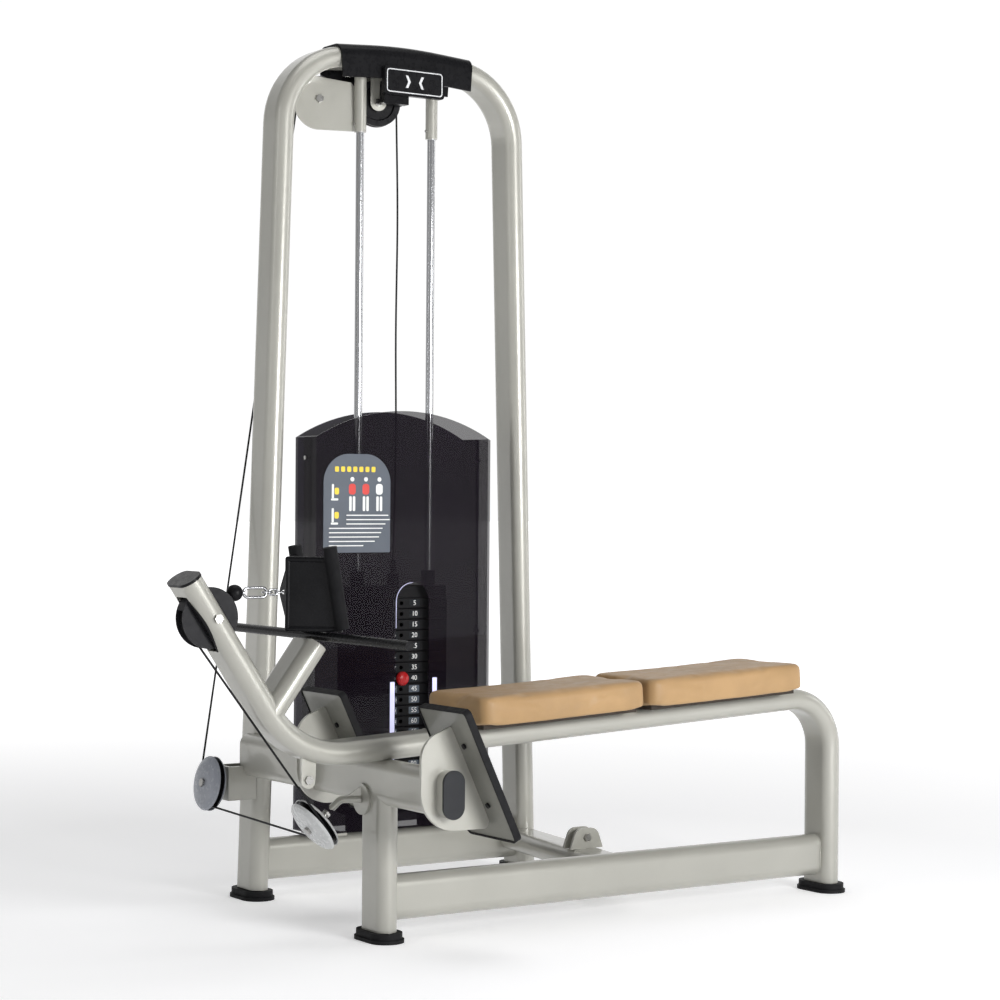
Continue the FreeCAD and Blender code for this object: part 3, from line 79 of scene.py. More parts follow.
class Look:
    """A Principled material with procedural colour, roughness and bump."""

    def __init__(self, name, color, rough, metal=0.0, coat=0.0, coat_rough=0.05, specular=0.5):
        self.material = bpy.data.materials.new(name)
        self.material.use_nodes = True
        self.tree = self.material.node_tree
        self.shader = self.tree.nodes["Principled BSDF"]
        self.set("Base Color", (*color, 1.0))
        self.set("Roughness", rough)
        self.set("Metallic", metal)
        self.set("Coat Weight", coat)
        self.set("Coat Roughness", coat_rough)
        self.set("Specular IOR Level", specular)
        self.color = color
        self.rough = rough
        self.height = None
        self.place = self.tree.nodes.new("ShaderNodeTexCoord").outputs["Object"]

    def set(self, socket, value):
        """Set one socket of the shader to a constant."""
        self.shader.inputs[socket].default_value = value

    def noise(self, scale, detail=3.0, stretch=None, rough=0.5):
        """A noise pattern in object space, scale in cells to the metre."""
        where = self.place
        if stretch:
            mapping = self.tree.nodes.new("ShaderNodeMapping")
            mapping.inputs["Scale"].default_value = stretch
            self.tree.links.new(where, mapping.inputs["Vector"])
            where = mapping.outputs["Vector"]
        pattern = self.tree.nodes.new("ShaderNodeTexNoise")
        pattern.inputs["Scale"].default_value = scale
        pattern.inputs["Detail"].default_value = detail
        pattern.inputs["Roughness"].default_value = rough
        self.tree.links.new(where, pattern.inputs["Vector"])
        return pattern.outputs["Fac"]

    def cells(self, scale):
        """A cell pattern in object space, scale in cells to the metre."""
        pattern = self.tree.nodes.new("ShaderNodeTexVoronoi")
        pattern.inputs["Scale"].default_value = scale
        self.tree.links.new(self.place, pattern.inputs["Vector"])
        return pattern.outputs["Distance"]

    def span(self, fac, low, high, start=0.35, end=0.65):
        """A value that runs from start to end, mapped to run from low to high."""
        node = self.tree.nodes.new("ShaderNodeMapRange")
        node.inputs["From Min"].default_value = start
        node.inputs["From Max"].default_value = end
        node.inputs["To Min"].default_value = low
        node.inputs["To Max"].default_value = high
        self.tree.links.new(fac, node.inputs["Value"])
        return node.outputs["Result"]

    def tint(self, fac, other, amount=1.0):
        """Mottle the colour towards another one."""
        mix = self.tree.nodes.new("ShaderNodeMix")
        mix.data_type = "RGBA"
        mix.inputs["A"].default_value = (*self.color, 1.0)
        mix.inputs["B"].default_value = (*other, 1.0)
        self.tree.links.new(self.span(fac, 0.0, amount), mix.inputs["Factor"])
        self.tree.links.new(mix.outputs["Result"], self.shader.inputs["Base Color"])
        return self

    def vary(self, fac, spread):
        """Vary the roughness about its middle value."""
        varied = self.span(fac, self.rough - spread, self.rough + spread)
        self.tree.links.new(varied, self.shader.inputs["Roughness"])
        return self

    def bump(self, fac, depth, strength=1.0):
        """Add a bump of a depth in metres."""
        node = self.tree.nodes.new("ShaderNodeBump")
        node.inputs["Strength"].default_value = strength
        node.inputs["Distance"].default_value = depth
        self.tree.links.new(fac, node.inputs["Height"])
        if self.height is not None:
            self.tree.links.new(self.height, node.inputs["Normal"])
        self.height = node.outputs["Normal"]
        self.tree.links.new(self.height, self.shader.inputs["Normal"])
        return self


def paint(name, color):
    """Gloss metallic paint with orange peel and a fine flake."""
    look = Look(name, color, 0.36, metal=0.25, coat=0.6, coat_rough=0.08)
    look.tint(look.noise(5.0), tuple(0.93 * part for part in color))
    look.vary(look.noise(60.0), 0.04)
    look.bump(look.noise(420.0, 1.0), 0.00006, 0.5)
    return look.bump(look.noise(2600.0, 1.0), 0.00001, 0.5)


def moulded(name, color, rough, grain=1400.0, depth=0.00005, specular=0.35):
    """Moulded plastic or rubber with a fine grain."""
    look = Look(name, color, rough, specular=specular)
    look.tint(look.noise(18.0), tuple(min(1.0, 1.08 * part + 0.002) for part in color))
    look.vary(look.noise(90.0), 0.06)
    return look.bump(look.noise(grain, 2.0), depth, 0.6)


def polished(name, color, rough, stretch=(1.0, 1.0, 0.03)):
    """Plated metal with faint drawing marks."""
    look = Look(name, color, rough, metal=1.0)
    look.vary(look.noise(60.0, 2.0, stretch), 0.03)
    return look.bump(look.noise(300.0, 2.0, stretch), 0.000002, 0.3)


def vinyl(name, color):
    """Grained vinyl with a slight sheen."""
    look = Look(name, color, 0.52, coat=0.05, coat_rough=0.35, specular=0.3)
    look.set("Sheen Weight", 0.05)
    look.tint(look.noise(9.0, 4.0), tuple(0.86 * part for part in color))
    look.vary(look.noise(40.0), 0.07)
    look.bump(look.cells(900.0), 0.00012, 0.5)
    return look.bump(look.noise(2400.0, 2.0), 0.00004, 0.4)


def acrylic(name, color, alpha):
    """Smoked sheet with a clear polish."""
    look = Look(name, color, 0.05, specular=0.14)
    look.tint(look.noise(3.0), tuple(0.8 * part for part in color))
    look.bump(look.noise(7.0, 1.0), 0.0006, 0.12)
    look.set("Alpha", alpha)
    return look


PAINT = paint("frame_paint", (0.40, 0.395, 0.355))
PLATE_PAINT = paint("foot_plate_paint", (0.17, 0.17, 0.15))
BLACK = moulded("black_plastic", (0.007, 0.007, 0.008), 0.30, specular=0.12)
GUARD = moulded("guard_plastic", (0.014, 0.014, 0.016), 0.42, specular=0.12)
RUBBER = moulded("black_rubber", (0.008, 0.008, 0.009), 0.62, 700.0, 0.00012, specular=0.15)
CAP = moulded("cap_plastic", (0.030, 0.031, 0.034), 0.40, specular=0.12)
GRIP = moulded("grip_foam", (0.007, 0.007, 0.008), 0.72, 500.0, 0.0002, specular=0.12)
METAL_BLACK = moulded("black_paint", (0.006, 0.006, 0.007), 0.28, 600.0, 0.00004, specular=0.12)
IRON = moulded("stack_paint", (0.006, 0.006, 0.007), 0.42, 350.0, 0.00001, specular=0.12)
CHROME = polished("chrome", (0.46, 0.465, 0.48), 0.16)
STEEL = polished("zinc_steel", (0.40, 0.395, 0.38), 0.28, (1, 1, 1))
JACKET = moulded("cable_jacket", (0.010, 0.010, 0.011), 0.38, 900.0, specular=0.12)
RED = moulded("red_knob", (0.36, 0.010, 0.012), 0.22, 300.0, 0.00003)
SMOKE = acrylic("smoked_acrylic", (0.010, 0.007, 0.012), 0.55)
SMOKE_REAR = acrylic("smoked_acrylic_rear", (0.014, 0.008, 0.026), 0.80)
COVER_BLUE = moulded("cover_silver", (0.27, 0.285, 0.32), 0.24, 500.0, 0.00002)
COVER_PALE = moulded("cover_pale", (0.50, 0.51, 0.51), 0.26, 500.0, 0.00002)
TAN = vinyl("tan_vinyl", (0.42, 0.265, 0.125))
PLY = moulded("black_board", (0.03, 0.022, 0.016), 0.7, 200.0, 0.0002)
CARD = moulded("card", (0.09, 0.105, 0.13), 0.42, 900.0, 0.00002)
INK = moulded("white_ink", (0.78, 0.79, 0.78), 0.5, 900.0, 0.00001)
YELLOW = moulded("yellow_ink", (0.85, 0.62, 0.06), 0.5, 900.0, 0.00001)
RED_INK = moulded("red_ink", (0.62, 0.06, 0.05), 0.5, 900.0, 0.00001)
SILVER = moulded("silver_line", (0.60, 0.61, 0.62), 0.3, 900.0, 0.00001)
# A pale bluish material that glows: a painted highlight for lit acrylic edges, not a lamp.
PAINTED_GLOW_EDGE = moulded("painted_glow_edge", (0.62, 0.62, 0.86), 0.2, 900.0, 0.00001)
PAINTED_GLOW_EDGE.set("Emission Color", (0.62, 0.62, 0.86, 1.0))
PAINTED_GLOW_EDGE.set("Emission Strength", 0.45)
# A lighter, bluish copy of the dark strip below: a painted reflection on the label strips.
PAINTED_SHEEN_STRIP = moulded("stack_strip_painted_sheen", (0.075, 0.092, 0.115), 0.3, 900.0, 0.00001)
DARK_STRIP = moulded("dark_strip", (0.010, 0.012, 0.015), 0.3, 900.0, 0.00001, specular=0.15)

NODE_LOOKS = {
    PAINT: ["front_cross_tube", "front_leg", "bench_base_beam", "tower_base_beam", "rear_cross_tube",
            "tower_arch", "boom_tube", "seat_rail", "rest_support", "boom_lug", "anchor_ears",
            "corner_pulley_plate", "left_pulley_bracket", "near_pulley_arm", "foot_brackets",
            "shroud_rests", "rod_sleeves", "top_pulley_hanger"],
    PLATE_PAINT: ["foot_plates"],
    RUBBER: ["rubber_feet", "foot_mats", "stack_buffers"],
    GRIP: ["handle_grips"],
    CAP: ["cross_tube_cap"],
    BLACK: ["boom_end_cap", "top_cover", "top_pulley_guard", "top_pulley", "corner_pulley", "left_pulley",
            "near_pulley", "boom_pulley", "sign_badge"],
    GUARD: ["boom_pulley_guard"],
    METAL_BLACK: ["rest_bar", "handle_frame"],
    CHROME: ["guide_rods", "snap_hook", "chain_links", "selector_stem"],
    STEEL: ["axle_bolts", "small_screws"],
    IRON: ["lifted_plates", "resting_plates", "head_plate", "foot_plate_bolts", "stopper_ball"],
    SMOKE: ["front_shroud"],
    SMOKE_REAR: ["rear_shroud"],
    COVER_BLUE: ["left_pulley_cover"],
    COVER_PALE: ["near_pulley_cover"],
    JACKET: ["tower_cable", "lower_cable"],
    PLY: ["pad_boards"],
    RED: ["selector_pin"],
    CARD: ["placard"],
}
# The width of each node's softened edges, in millimetres.
SOFT_EDGE = {
    "foot_brackets": 1.2, "boom_lug": 1.0, "corner_pulley_plate": 0.8, "left_pulley_bracket": 0.8,
    "boom_end_cap": 2.2, "cross_tube_cap": 2.4, "rubber_feet": 2.0, "sign_badge": 1.2, "top_cover": 1.2,
    "foot_plates": 0.8, "foot_mats": 1.4, "anchor_ears": 0.8, "handle_grips": 2.5, "head_plate": 1.0,
    "boom_pulley_guard": 0.8, "axle_bolts": 0.6, "shroud_rests": 0.8, "near_pulley_arm": 0.6,
    "boom_tube": 0.8, "front_shroud": 0.5, "rear_shroud": 0.5,
}
EDGE_ANGLE = math.radians(40)

for look, names in NODE_LOOKS.items():
    for name in names:
        obj = nodes[name]
        obj.data.materials.clear()
        obj.data.materials.append(look.material)
for name, width in SOFT_EDGE.items():
    bevel = nodes[name].modifiers.new("soft_edge", "BEVEL")
    bevel.width = width / 1000.0
    bevel.segments = 2
    bevel.limit_method = "ANGLE"
    bevel.angle_limit = EDGE_ANGLE


# ---- mesh helpers ----


def piece(name, mesh, look, body, smooth=True):
    """An object that rides on a CAD body, if one is named."""
    obj = bpy.data.objects.new(name, mesh)
    scene.collection.objects.link(obj)
    if not mesh.materials:
        mesh.materials.append(look.material)
    for face in mesh.polygons:
        face.use_smooth = smooth
    if body:
        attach(obj, body)
    return obj


def mesh_from(name, bm):
    """A mesh from a bmesh, with its normals made consistent."""
    bmesh.ops.recalc_face_normals(bm, faces=bm.faces)
    mesh = bpy.data.meshes.new(name)
    bm.to_mesh(mesh)
    bm.free()
    return mesh


def tube(name, points, radius, sides=16, wobble=None):
    """A closed round tube along points in the row frame."""
    bm = bmesh.new()
    rings = []
    last = len(points) - 1
    for index, point in enumerate(points):
        heading = (points[min(index + 1, last)] - points[max(index - 1, 0)]).normalized()
        if index == 0:
            side = heading.orthogonal().normalized()
        else:
            side = (side - heading * side.dot(heading)).normalized()
        across = heading.cross(side)
        size = radius * (wobble(index) if wobble else 1.0)
        ring = []
        for step in range(sides):
            angle = 2 * math.pi * step / sides
            ring.append(bm.verts.new(point + (side * math.cos(angle) + across * math.sin(angle)) * size))
        rings.append(ring)
    for first, second in zip(rings, rings[1:]):
        for step in range(sides):
            after = (step + 1) % sides
            bm.faces.new((first[step], first[after], second[after], second[step]))
    bm.faces.new(rings[0])
    bm.faces.new(rings[-1])
    return mesh_from(name, bm)


# ---- cables ----

CABLE_RADIUS = 0.0024
CABLE_STEPS = 60
CABLE_BOW = 0.009
CABLE_TOP = 1925.0
CABLE_LOW = 801.0
PULL_LEVEL = 757.0

# The cable over the stack hangs slack and bows to one side in a slow wave.
top = at(STACK_MID, TOWER_PLANE, CABLE_TOP)
low = at(STACK_MID, TOWER_PLANE, CABLE_LOW)
line = []
for step in range(CABLE_STEPS + 1):
    share = step / CABLE_STEPS
    bow = math.sin(math.pi * share)
    sway = 0.7 + 0.3 * math.sin(3 * math.pi * share)
    line.append(low.lerp(top, share) + Vector((CABLE_BOW * bow * sway, 0.0, 0.0)))
stack_line = piece("stack_line", tube("stack_line", line, CABLE_RADIUS), JACKET, "frame")
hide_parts("stack_cable")
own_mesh(stack_line)

pull_low, pull_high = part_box("pull_cable")
start = at(0, 0, PULL_LEVEL)
start.x = pull_low[0]
end = Vector((pull_high[0], start.y, start.z))
line = [start.lerp(end, step / CABLE_STEPS) for step in range(CABLE_STEPS + 1)]
pull_line = piece("pull_line", tube("pull_line", line, CABLE_RADIUS), JACKET, None)
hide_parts("pull_cable")
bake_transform(pull_line)

# ---- seat pads ----

RAIL_WAY = Vector((math.cos(RAIL_SLOPE), 0.0, math.sin(RAIL_SLOPE)))
RAIL_UP = Vector((-RAIL_WAY.z, 0.0, RAIL_WAY.x))
RAIL_LEVEL = 417.0
PAD_LIFT = 40.0
PAD_WIDE = 0.250
PAD_TALL = 0.050
PAD_CORNER = 0.026
PAD_EDGE = 0.011
# The pads start a little small, because the cloth pass swells them.
PAD_SHRINK = 0.0035
# The vinyl wraps down round the board, so the underside has a pocket for it.
PAD_SKIRT = 0.010
PAD_POCKET = 0.014
PAD_SWELL = 0.006
SWELL_FRAMES = 20


def on_rail(x, lift_by):
    """A point over the seat rail's centre line."""
    return at(x, 0, RAIL_LEVEL + math.tan(RAIL_SLOPE) * x) + RAIL_UP * lift_by / 1000.0


def pad_form(length):
    """A rounded block in its own frame, along X from the origin, with its skirt below z = 0."""
    bm = bmesh.new()
    corner_steps = 8
    edge_steps = 6
    outline = []
    x_mid = length / 2
    half_x = length / 2 - PAD_SHRINK
    half_y = PAD_WIDE / 2 - PAD_SHRINK
    for corner in range(4):
        sx = 1 if corner in (0, 3) else -1
        sy = 1 if corner in (0, 1) else -1
        centre = Vector((x_mid + sx * (half_x - PAD_CORNER), sy * (half_y - PAD_CORNER)))
        for step in range(corner_steps + 1):
            angle = math.pi / 2 * (corner + step / corner_steps)
            outline.append(centre + Vector((math.cos(angle), math.sin(angle))) * PAD_CORNER)
    # Each level is a height and the outline's inset there: the pocket's roof, the skirt, the shoulder.
    shoulder = PAD_TALL - PAD_EDGE
    levels = [(0.001, PAD_POCKET), (-PAD_SKIRT, PAD_POCKET), (-PAD_SKIRT, 0.003), (0.003 - PAD_SKIRT, 0.0),
              (shoulder, 0.0)]
    for step in range(1, edge_steps + 1):
        angle = math.pi / 2 * step / edge_steps
        levels.append((shoulder + PAD_EDGE * math.sin(angle), PAD_EDGE * (1 - math.cos(angle))))
    rings = []
    middle = Vector((x_mid, 0.0))
    for height, inset in levels:
        ring = []
        for point in outline:
            away = point - middle
            scale_x = (half_x - inset) / half_x
            scale_y = (half_y - inset) / half_y
            place = (middle.x + away.x * scale_x, away.y * scale_y, height + PAD_SHRINK * 0.3)
            ring.append(bm.verts.new(place))
        rings.append(ring)
    count = len(outline)
    for first, second in zip(rings, rings[1:]):
        for step in range(count):
            after = (step + 1) % count
            bm.faces.new((first[step], first[after], second[after], second[step]))
    bm.faces.new(rings[0])
    bm.faces.new(rings[-1])
    return mesh_from("pad_form", bm)


def apply_modifiers(obj):
    """Bake an object's modifiers into its mesh."""
    graph = bpy.context.evaluated_depsgraph_get()
    mesh = bpy.data.meshes.new_from_object(obj.evaluated_get(graph))
    obj.modifiers.clear()
    obj.data = mesh


def inflate(obj, cap):
    """Swell a form a little with the cloth solver; no point moves further than the cap, and none sinks."""
    cloth = obj.modifiers.new("cloth", "CLOTH")
    settings = cloth.settings
    settings.quality = 6
    settings.mass = 0.4
    settings.use_pressure = True
    settings.uniform_pressure_force = 4.0
    settings.tension_stiffness = 40
    settings.compression_stiffness = 40
    settings.shear_stiffness = 20
    settings.bending_stiffness = 6
    settings.effector_weights.gravity = 0.0
    cloth.collision_settings.use_collision = False
    rest = [vertex.co.copy() for vertex in obj.data.vertices]
    for number in range(1, SWELL_FRAMES + 1):
        scene.frame_set(number)
    apply_modifiers(obj)
    for vertex, before in zip(obj.data.vertices, rest):
        moved = vertex.co - before
        if moved.length > cap:
            vertex.co = before + moved.normalized() * cap
        vertex.co.z = max(vertex.co.z, before.z)
    scene.frame_set(1)


def seat_pad(name, node, start_x, end_x):
    """A crowned vinyl pad in its own cloth pass, set on the rail."""
    length = (end_x - start_x) / 1000.0 / RAIL_WAY.x
    obj = bpy.data.objects.new(name, pad_form(length))
    scene.collection.objects.link(obj)
    remesh = obj.modifiers.new("remesh", "REMESH")
    remesh.mode = "VOXEL"
    remesh.voxel_size = 0.0055
    apply_modifiers(obj)
    inflate(obj, PAD_SWELL)
    smooth = obj.modifiers.new("smooth", "SMOOTH")
    smooth.iterations = 4
    smooth.factor = 0.5
    apply_modifiers(obj)
    detail = obj.modifiers.new("detail", "SUBSURF")
    detail.levels = 1
    detail.render_levels = 1
    apply_modifiers(obj)
    turn = Matrix((RAIL_WAY, Vector((0, 1, 0)), RAIL_UP)).transposed().to_4x4()
    obj.data.transform(Matrix.Translation(on_rail(start_x, PAD_LIFT)) @ turn)
    obj.data.materials.clear()
    obj.data.materials.append(TAN.material)
    for face in obj.data.polygons:
        face.use_smooth = True
    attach(obj, "frame")
    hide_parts(node)
    return obj


seat_pad("front_seat_pad", "front_pad", 186.0, 643.0)
seat_pad("rear_seat_pad", "rear_pad", 646.0, 1112.0)

# ---- printed and small details ----


def flat_shape(bm, outline, y, x_mid, z_mid, thick=0.25, slot_index=0):
    """A thin raised shape on a wall that faces -Y; the outline is (x, z) in millimetres."""
    front = [bm.verts.new(at(x_mid + x, y - thick, z_mid + z)) for x, z in outline]
    back = [bm.verts.new(at(x_mid + x, y + 0.05, z_mid + z)) for x, z in outline]
    faces = [bm.faces.new(front), bm.faces.new(list(reversed(back)))]
    count = len(outline)
    for step in range(count):
        after = (step + 1) % count
        faces.append(bm.faces.new((front[after], front[step], back[step], back[after])))
    for face in faces:
        face.material_index = slot_index


def bar_shape(wide, tall, radius=0.0, steps=4):
    """A rounded rectangle about its middle."""
    points = []
    for corner in range(4):
        sx = 1 if corner in (0, 3) else -1
        sz = 1 if corner in (0, 1) else -1
        for step in range(steps + 1):
            angle = math.pi / 2 * (corner + step / steps)
            points.append((sx * (wide / 2 - radius) + radius * math.cos(angle),
                           sz * (tall / 2 - radius) + radius * math.sin(angle)))
    return points if radius else points[::steps + 1]


def disc_shape(radius, steps=18):
    """A disc about its middle."""
    return [(radius * math.cos(2 * math.pi * step / steps), radius * math.sin(2 * math.pi * step / steps))
            for step in range(steps)]


def digits(text, size, x, y, z):
    """Raised digits about a point on a wall that faces -Y, as a mesh."""
    curve = bpy.data.curves.new("digits", "FONT")
    curve.body = text
    curve.size = size / 1000.0
    curve.extrude = 0.00015
    curve.align_x = "CENTER"
    curve.align_y = "CENTER"
    curve.resolution_u = 3
    holder = bpy.data.objects.new("digits", curve)
    scene.collection.objects.link(holder)
    bpy.context.view_layer.update()
    mesh = bpy.data.meshes.new_from_object(holder.evaluated_get(bpy.context.evaluated_depsgraph_get()))
    bpy.data.objects.remove(holder)
    mesh.transform(Matrix.Translation(at(x, y - 0.2, z)) @ Matrix.Rotation(math.pi / 2, 4, "X"))
    return mesh


PLATE_PITCH = 26.4
STACK_LOW = 181.0
PLATE_COUNT = 20
PICKED = 8
NUMBER_STEP = 5
LABEL_RISE = 12.9
LABEL_TALL = 17
LABEL_THICK = 0.3
# Each plate has a wide label with its load and a narrow one with its place, counted from the top.
LOAD_AT = STACK_MID + 38
PLACE_AT = STACK_MID - 18
for body, plates in (("lifted_stack", range(1, PICKED + 1)), ("frame", range(PICKED + 1, PLATE_COUNT + 1))):
    strips = bmesh.new()
    marks = bmesh.new()
    for index in plates:
        level = STACK_LOW + (PLATE_COUNT - index) * PLATE_PITCH + LABEL_RISE
        flat_shape(strips, bar_shape(30, LABEL_TALL, 2), PLATE_FRONT, LOAD_AT, level, LABEL_THICK)
        flat_shape(strips, bar_shape(13, LABEL_TALL, 2), PLATE_FRONT, PLACE_AT, level, LABEL_THICK)
        for text, size, x in ((str(index * NUMBER_STEP), 17, LOAD_AT), (str(index), 10, PLACE_AT)):
            mesh = digits(text, size, x, PLATE_FRONT - LABEL_THICK, level)
            marks.from_mesh(mesh)
            bpy.data.meshes.remove(mesh)
    # The resting plates' labels get the lighter strip, a painted reflection; the lifted plates' labels keep
    # the dark strip.
    strip_look = PAINTED_SHEEN_STRIP if body == "frame" else DARK_STRIP
    piece("strips_" + body, mesh_from("strips", strips), strip_look, body, False)
    piece("numbers_" + body, mesh_from("numbers", marks), INK, body, False)

# The placard carries plain bars and pictograms of no one in particular.
CARD_MID = 266.0
CARD_FACE = SHROUD_FRONT - 1.5
TITLE_LEVEL = 1023
HEAD_LEVEL = 999
CHEST_LEVEL = 975
LEG_LEVEL = 940
MACHINE_LEVEL = 970
TEXT_LEVEL = 912
TEXT_PITCH = 10.5
TEXT_WIDTHS = (118, 122, 110, 150, 146, 140, 128, 96)
INDENTED_LINES = 3
PRINT_LOOKS = (INK, YELLOW, RED_INK)
card = bmesh.new()


def print_on_card(outline, right_by, level, look):
    """Print a shape on the placard, at a distance to the right of its middle and at a height."""
    flat_shape(card, outline, CARD_FACE, CARD_MID + right_by, level, 0.25, PRINT_LOOKS.index(look))


for index in range(7):
    print_on_card(bar_shape(11, 13, 3), -57 + 17 * index, TITLE_LEVEL, YELLOW)
for index in range(3):
    figure = -14 + 38 * index
    print_on_card(disc_shape(5.5), figure, HEAD_LEVEL, INK)
    print_on_card(bar_shape(19, 26, 7), figure, CHEST_LEVEL, RED_INK if index < 2 else INK)
    print_on_card(bar_shape(7, 36, 3), figure - 5, LEG_LEVEL, INK)
    print_on_card(bar_shape(7, 36, 3), figure + 5, LEG_LEVEL, INK)
for index in range(2):
    level = MACHINE_LEVEL - 58 * index
    print_on_card(bar_shape(20, 5, 2), -63, level - 20, INK)
    print_on_card(bar_shape(6, 34, 2), -68, level, INK)
    print_on_card(bar_shape(12, 16, 4), -57, level, YELLOW)
for index, wide in enumerate(TEXT_WIDTHS):
    left = -30 if index < INDENTED_LINES else -78
    print_on_card(bar_shape(wide, 2.6, 1), left + wide / 2, TEXT_LEVEL - TEXT_PITCH * index, INK)
mesh = mesh_from("placard_print", card)
for look in PRINT_LOOKS:
    mesh.materials.append(look.material)
piece("placard_print", mesh, INK, "frame", False)

# The sign has a silver outline and a plain emblem.
SIGN_FACE = TOWER_PLANE - 70.0
SIGN_MID = 420.0
SIGN_LEVEL = 1971.5
SIGN_THICK = 0.5
sign = bmesh.new()
outer = bar_shape(160, 57, 8)
inner = bar_shape(155, 52, 6)
for first in range(len(outer)):
    second = (first + 1) % len(outer)
    part = [outer[first], outer[second], inner[second], inner[first]]
    flat_shape(sign, part, SIGN_FACE, SIGN_MID, SIGN_LEVEL, SIGN_THICK)
for side in (-1, 1):
    for turn in (-1, 1):
        arrow = [(side * 12, 0), (side * 19, turn * 15), (side * 26, turn * 15), (side * 19, 0)]
        flat_shape(sign, arrow, SIGN_FACE, SIGN_MID, SIGN_LEVEL, SIGN_THICK)
bmesh.ops.remove_doubles(sign, verts=sign.verts, dist=1e-6)
piece("sign_trim", mesh_from("sign_trim", sign), SILVER, "frame", False)

# The shroud's slot has a glowing strip up its left side and round to its top: a painted highlight where its
# cut edge catches the light.
CORNER_RADIUS = 47
CORNER_AT = SHROUD_MID + 24
CORNER_LEVEL = 700.5
CORNER_STEPS = 12
EDGE_FOOT = 636.0
slot_edge = bmesh.new()
route = [(CORNER_AT - CORNER_RADIUS, EDGE_FOOT)]
for step in range(CORNER_STEPS + 1):
    angle = math.pi * (1.0 - 0.5 * step / CORNER_STEPS)
    across = CORNER_RADIUS * math.cos(angle)
    route.append((CORNER_AT + across, CORNER_LEVEL + CORNER_RADIUS * math.sin(angle)))
for (x0, z0), (x1, z1) in zip(route, route[1:]):
    corners = [at(x0, SHROUD_FRONT - 0.3, z0), at(x1, SHROUD_FRONT - 0.3, z1),
               at(x1 + 0.8, SHROUD_FRONT + 4.2, z1 - 0.3), at(x0 + 0.8, SHROUD_FRONT + 4.2, z0 - 0.3)]
    slot_edge.faces.new([slot_edge.verts.new(corner) for corner in corners])
bmesh.ops.remove_doubles(slot_edge, verts=slot_edge.verts, dist=1e-6)
edge_piece = piece("slot_edge", mesh_from("slot_edge", slot_edge), PAINTED_GLOW_EDGE, "frame")
thicken = edge_piece.modifiers.new("thicken", "SOLIDIFY")
thicken.thickness = 0.0008

# Two pale strips stand on the shroud, one on each side of the stack; their glow is a painted highlight.
STRIP_FOOT = 192
strips = bmesh.new()
for x_mid, top_z in ((370.0, 505.0), (492.0, 512.0)):
    outline = bar_shape(13, top_z - STRIP_FOOT, 2)
    flat_shape(strips, outline, SHROUD_FRONT, x_mid, (top_z + STRIP_FOOT) / 2, 0.4)
piece("slot_strips", mesh_from("slot_strips", strips), PAINTED_GLOW_EDGE, "frame", False)

# ---- rubber trim of the boom's pulley slot ----

BOOM_RISE = math.radians(56.5)
BOOM_WAY = Vector((-math.cos(BOOM_RISE), 0.0, math.sin(BOOM_RISE)))
BOOM_OUT = Vector((-math.sin(BOOM_RISE), 0.0, -math.cos(BOOM_RISE)))
BOOM_FOOT = -221.0
AXLE_ALONG = 0.361
# The boom is a flat-oval tube: half its flat side's width, and the radius of its round sides.
BOOM_FLAT = 25.0
BOOM_RADIUS = 25.0
axle = at(BOOM_FOOT, 0, RAIL_LEVEL + BOOM_FOOT * math.tan(RAIL_SLOPE)) + BOOM_WAY * AXLE_ALONG


def on_boom(along_by, y, face, lift_by):
    """A point over the boom's skin; face is 1 on its outer side and -1 on its inner side."""
    turn_by = max(0.0, abs(y) - BOOM_FLAT) / BOOM_RADIUS
    depth = BOOM_RADIUS * math.cos(turn_by)
    spread = BOOM_FLAT + BOOM_RADIUS * math.sin(turn_by) if abs(y) > BOOM_FLAT else abs(y)
    sideways = Vector((0.0, math.copysign(spread, y), 0.0))
    normal = Vector((0.0, math.copysign(math.sin(turn_by), y), 0.0)) + BOOM_OUT * face * math.cos(turn_by)
    skin = axle + (BOOM_WAY * along_by + BOOM_OUT * face * depth + sideways) / 1000.0
    return skin + normal * lift_by / 1000.0


SLOT_HALF_LONG = 68.0
SLOT_HALF_WIDE = 19.0
TRIM_WIDE = 17.0
TRIM_LEAST = 1.5
TRIM_ROWS = 24
TRIM_COLUMNS = 6
trim = bmesh.new()
for face in (1, -1):
    for side in (-1, 1):
        grid = []
        for step in range(TRIM_ROWS + 1):
            share = 2 * step / TRIM_ROWS - 1
            swell = TRIM_WIDE * (1 - share * share) + TRIM_LEAST
            row = []
            for across in range(TRIM_COLUMNS + 1):
                y = side * (SLOT_HALF_WIDE + swell * across / TRIM_COLUMNS)
                rise = 0.3 + 1.5 * math.sin(math.pi * (0.15 + 0.85 * across / TRIM_COLUMNS))
                row.append(trim.verts.new(on_boom(SLOT_HALF_LONG * share, y, face, rise)))
            grid.append(row)
        for first, second in zip(grid, grid[1:]):
            for across in range(TRIM_COLUMNS):
                trim.faces.new((first[across], first[across + 1], second[across + 1], second[across]))
boom_trim = piece("boom_trim", mesh_from("boom_trim", trim), BLACK, "frame")
solid = boom_trim.modifiers.new("solid", "SOLIDIFY")
solid.thickness = 0.001

# ---- weld beads ----


BEAD_WIDE = 50.4
BEAD_TALL = 100.4
BEAD_STEPS = 72


def oval_points(middle, way, up):
    """Points round a flat-oval tube's outline, in a plane across it."""
    side = way.cross(up).normalized()
    radius = BEAD_WIDE / 2
    reach = BEAD_TALL / 2 - radius
    points = []
    for step in range(BEAD_STEPS):
        angle = 2 * math.pi * step / BEAD_STEPS
        lift_by = reach if math.sin(angle) >= 0 else -reach
        away = side * radius * math.cos(angle) + up * (radius * math.sin(angle) + lift_by)
        points.append(middle + away / 1000.0)
    return points


